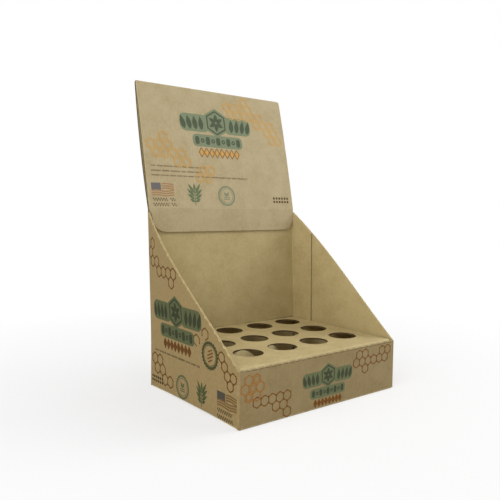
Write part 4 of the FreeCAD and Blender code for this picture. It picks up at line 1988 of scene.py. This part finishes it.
@dataclass
class Studio:
    """The pale floor, the soft lights and the camera at the photograph's view."""

    focal_px: float = 585.5
    image_px: float = 500.0
    centre_px: tuple[float, float] = (259.1, 236.5)
    yaw: float = 38.48
    pitch: float = 3.10
    roll: float = 0.81
    place_mm: tuple[float, float, float] = (-345.6, -412.0, 169.3)
    sensor_mm: float = 36.0
    # the lamps' places in metres and their power in watts
    lamps: tuple[tuple[str, tuple[float, float, float], float], ...] = (
        ("high_left", (-1.2, -0.6, 1.2), 13.2),
        ("front_right", (1.0, -0.9, 0.9), 4.5),
        ("low_left", (-1.6, 0.2, 0.5), 8.4),
        ("right", (1.5, -0.3, 0.8), 16.0),
    )
    lamp_size: float = 1.0
    aim: tuple[float, float, float] = (0.0, 0.0, 0.12)
    ambient: float = 0.275
    floor_reach: float = 6.0

    def camera(self) -> None:
        """Place the camera: it looks along yaw and pitch, with a small roll about that line."""
        yaw, pitch, roll = (math.radians(a) for a in (self.yaw, self.pitch, self.roll))
        flat = math.cos(pitch)
        ahead = Vector((math.sin(yaw) * flat, math.cos(yaw) * flat, -math.sin(pitch)))
        level = Vector((math.cos(yaw), -math.sin(yaw), 0.0))
        upright = level.cross(ahead)
        right = level * math.cos(roll) + upright * math.sin(roll)
        above = upright * math.cos(roll) - level * math.sin(roll)
        data = bpy.data.cameras.new("camera")
        data.sensor_width = self.sensor_mm
        data.lens = self.focal_px / self.image_px * self.sensor_mm
        data.shift_x = (self.image_px / 2 - self.centre_px[0]) / self.image_px
        data.shift_y = (self.centre_px[1] - self.image_px / 2) / self.image_px
        camera = bpy.data.objects.new("camera", data)
        turn = Matrix((right, above, -ahead)).transposed().to_4x4()
        camera.matrix_world = Matrix.Translation(Vector(self.place_mm) * MM) @ turn
        bpy.context.scene.collection.objects.link(camera)
        bpy.context.scene.camera = camera

    def hang_lamps(self) -> None:
        """Hang the square soft lights, each turned towards the stand."""
        for name, place, watts in self.lamps:
            data = bpy.data.lights.new(name, "AREA")
            data.size = self.lamp_size
            data.energy = watts
            lamp = bpy.data.objects.new(name, data)
            lamp.location = place
            line = Vector(self.aim) - Vector(place)
            lamp.rotation_euler = line.to_track_quat("-Z", "Y").to_euler()
            bpy.context.scene.collection.objects.link(lamp)

    def floor(self) -> None:
        """Lay the floor: a large pale matt sheet."""
        reach = self.floor_reach
        mesh = bpy.data.meshes.new("floor")
        corners = [(-reach, -reach, 0), (reach, -reach, 0), (reach, reach, 0), (-reach, reach, 0)]
        mesh.from_pydata(corners, [], [(0, 1, 2, 3)])
        mesh.materials.append(self.floor_finish())
        floor = bpy.data.objects.new("floor", mesh)
        bpy.context.scene.collection.objects.link(floor)

    def floor_finish(self) -> bpy.types.Material:
        """Painted floor, pale and matt: the camera sees it fade into plain white round the stand.

        Returns:
            The material.
        """
        material, tree, place = new_material("pale_painted_floor")
        tone = tint(tree, linear("F4F4F3"), linear("FAFAF9"), grain(tree, place, [300.0] * 3))
        shader = finish_with(tree, Base_Color=tone, Roughness=0.9)
        far = add(tree, "ShaderNodeVectorMath", {"operation": "LENGTH"}, _0=place).outputs["Value"]
        white = add(tree, "ShaderNodeEmission", Color=linear("FFFFFF"), Strength=1.0)
        seen = add(tree, "ShaderNodeLightPath").outputs["Is Camera Ray"]
        fade = add(tree, "ShaderNodeMapRange", Value=far, From_Min=0.12, From_Max=0.45, To_Min=0.62)
        share = add(tree, "ShaderNodeMath", {"operation": "MULTIPLY"}, _0=seen, _1=fade.outputs[0])
        mixed = add(tree, "ShaderNodeMixShader", _0=share.outputs[0], _1=shader.outputs[0],
                    _2=white.outputs[0])
        output = next(node for node in tree.nodes if node.type == "OUTPUT_MATERIAL")
        tree.links.new(mixed.outputs[0], output.inputs["Surface"])
        return material

    def sky(self) -> None:
        """Set the world: white to the camera and through glass, a soft ambient light otherwise."""
        world = bpy.data.worlds.new("studio")
        bpy.context.scene.world = world
        world.use_nodes = True
        tree = world.node_tree
        tree.nodes.clear()
        path = add(tree, "ShaderNodeLightPath")
        seen = add(tree, "ShaderNodeMath", {"operation": "ADD", "use_clamp": True},
                   _0=path.outputs["Is Camera Ray"], _1=path.outputs["Is Transmission Ray"])
        plain = add(tree, "ShaderNodeBackground", Color=linear("FFFFFF"), Strength=1.0)
        soft = add(tree, "ShaderNodeBackground", Color=linear("FFFFFF"), Strength=self.ambient)
        mixed = add(tree, "ShaderNodeMixShader", _0=seen.outputs[0], _1=soft.outputs[0],
                    _2=plain.outputs[0])
        add(tree, "ShaderNodeOutputWorld", Surface=mixed.outputs[0])

    def build(self) -> None:
        """Set up the studio."""
        self.camera()
        self.floor()
        self.sky()
        self.hang_lamps()
        bpy.context.scene.view_settings.view_transform = "Standard"


def header_print(header: Header) -> Print:
    """Lay out the print of the header, in x and the distance up from its lower crease.

    Args:
        header: the header.

    Returns:
        The print.
    """
    sheet = Print("header", header.outer_front, header.finishes, PrintShade.HEADER)
    sheet.emblem(-3.5, 79.0, 1.0, "gold")
    for x, y, pitch, cells in (
        (21.7, 108.3, 9.3, [(-1, 0), (0, 0), (1, 0), (2, 0), (1, 1), (0, -1), (1, -1), (2, -1), (3, -1),
                            (4, -1), (4, -2), (5, -2), (6, -2), (6, -3), (7, -3), (7, -4), (8, -4)]),
        (-81.6, 61.8, 9.4, [(0, 0), (1, 0), (2, 0), (1, 1), (1, -1), (2, -1), (3, -1), (4, -1), (4, -2),
                            (5, -2)]),
        (-25.7, 38.3, 9.0, [(0, 0), (1, -1), (1, 0), (0, -1)]),
    ):
        sheet.comb("gold", x, y, pitch, cells, 0.0, 0.85, 1.5)
        sheet.inlay("gold", x, y, pitch, cells)
    sheet.scribble("brown", -84, 40.6, 60, 1.8, 3)
    sheet.scribble("brown", -84, 35.9, 56, 1.8, 4)
    sheet.scribble("brown", -84, 31.4, 112, 1.6, 5)
    sheet.pennant(-85.5, 11.0, 24, 13)
    sheet.scribble("brown", -85, 8.2, 24, 3.6, 6)
    sheet.scribble("brown", -85, 3.3, 25, 3.6, 7)
    sheet.sprig(-38.5, 2.8, 21.5)
    sheet.seal(-0.7, 12.9, 10.4)
    sheet.tally(61.5, 7.6, 3.8)
    return sheet


def left_print(box: Box) -> Print:
    """Lay out the print of the left wall, in -Y, which is to the right from outside, and height.

    Args:
        box: the box.

    Returns:
        The print.
    """
    sheet = Print("left_side", lambda across, up: box.outer_left(-across, up), box.finishes, PrintShade.LEFT)
    sheet.emblem(-20.5, 66.5, 0.93, "bronze")
    for x, y, pitch, missing, cells in (
        (-62.4, 133.1, 9.2, 0.0, [(0, 0), (0, -1), (1, -2), (2, -2), (3, -3), (4, -3), (5, -3), (6, -3),
                                  (6, -4)]),
        (-59.4, 28.5, 9.2, 0.0, [(0, 0), (1, 0), (1, -1), (2, -1), (3, -2), (4, -2)]),
        (24.6, 65.8, 8.6, 0.1, [(0, 0), (-1, -1)]),
        (46.4, 51.5, 7.7, 0.0, [(0, 0), (1, -1), (2, -2), (3, -2), (3, -3)]),
    ):
        sheet.comb("bronze", x, y, pitch, cells, missing)
    sheet.scribble("brown", -59.5, 36.8, 75, 1.9, 8)
    sheet.badge(30.3, 49.4, 12.0)
    sheet.seal(-11.5, 13.4, 10.3)
    sheet.sprig(18.4, 5.0, 20.0)
    sheet.pennant(40.5, 12.5, 26.0, 12.0)
    sheet.scribble("brown", 41, 9.6, 25.5, 3.6, 9)
    sheet.scribble("brown", 41, 4.6, 25.5, 3.6, 10)
    sheet.tally(-63.5, 8.0, 3.5)
    return sheet


def front_print(box: Box) -> Print:
    """Lay out the print of the front wall, in x and height.

    Args:
        box: the box.

    Returns:
        The print.
    """
    sheet = Print("front", box.outer_front, box.finishes, PrintShade.FRONT)
    sheet.emblem(3.5, 20.2, 0.67, "bronze")
    warm = [(0, 0), (1, 0), (0, -1), (1, -1), (2, -1), (1, -2), (2, -2)]
    sheet.comb("copper", -80.6, 37.2, 7.4, warm, 0.0, 0.75, 1.6)
    sheet.inlay("copper", -80.6, 37.2, 7.4, warm[1::2])
    trail = [(3, -3), (4, -3), (5, -3), (6, -3), (7, -3), (7, -4), (6, -4), (8, -5)]
    sheet.comb("bronze", -84.0, 38.6, 7.6, trail, 0.0, 0.75, 1.7)
    crown = [(0, 0), (0, -1), (1, 0), (1, -1), (2, -1), (3, -1), (2, -2), (4, -1), (5, -1), (4, 0),
             (5, 0)]
    sheet.comb("bronze", 42.0, 38.4, 7.6, crown, 0.0, 0.75, 1.7)
    # painted shadow: a dashed dark line in brown ink just below the perforated edge, for the shade under
    # its nicks
    score, length = box.front_height - 0.6, 4.6
    for start in np.arange(-84.0, 82.0, 6.3):
        sheet.stamp("brown", rule(np.array([start, score]), np.array([start + length, score]), 0.28))
    return sheet


def main() -> None:
    """Build the stand, dress it and set up the studio."""
    logging.basicConfig(level=logging.INFO, format="%(name)s: %(message)s")
    finishes = Finishes()
    box = Box(Board(), finishes)
    box.build()
    header = Header(box, finishes)
    header.build()
    Shelf(box, finishes).build()
    header_print(header).build()
    left_print(box).build()
    front_print(box).build()
    Studio().build()


if __name__ == "__main__":
    main()
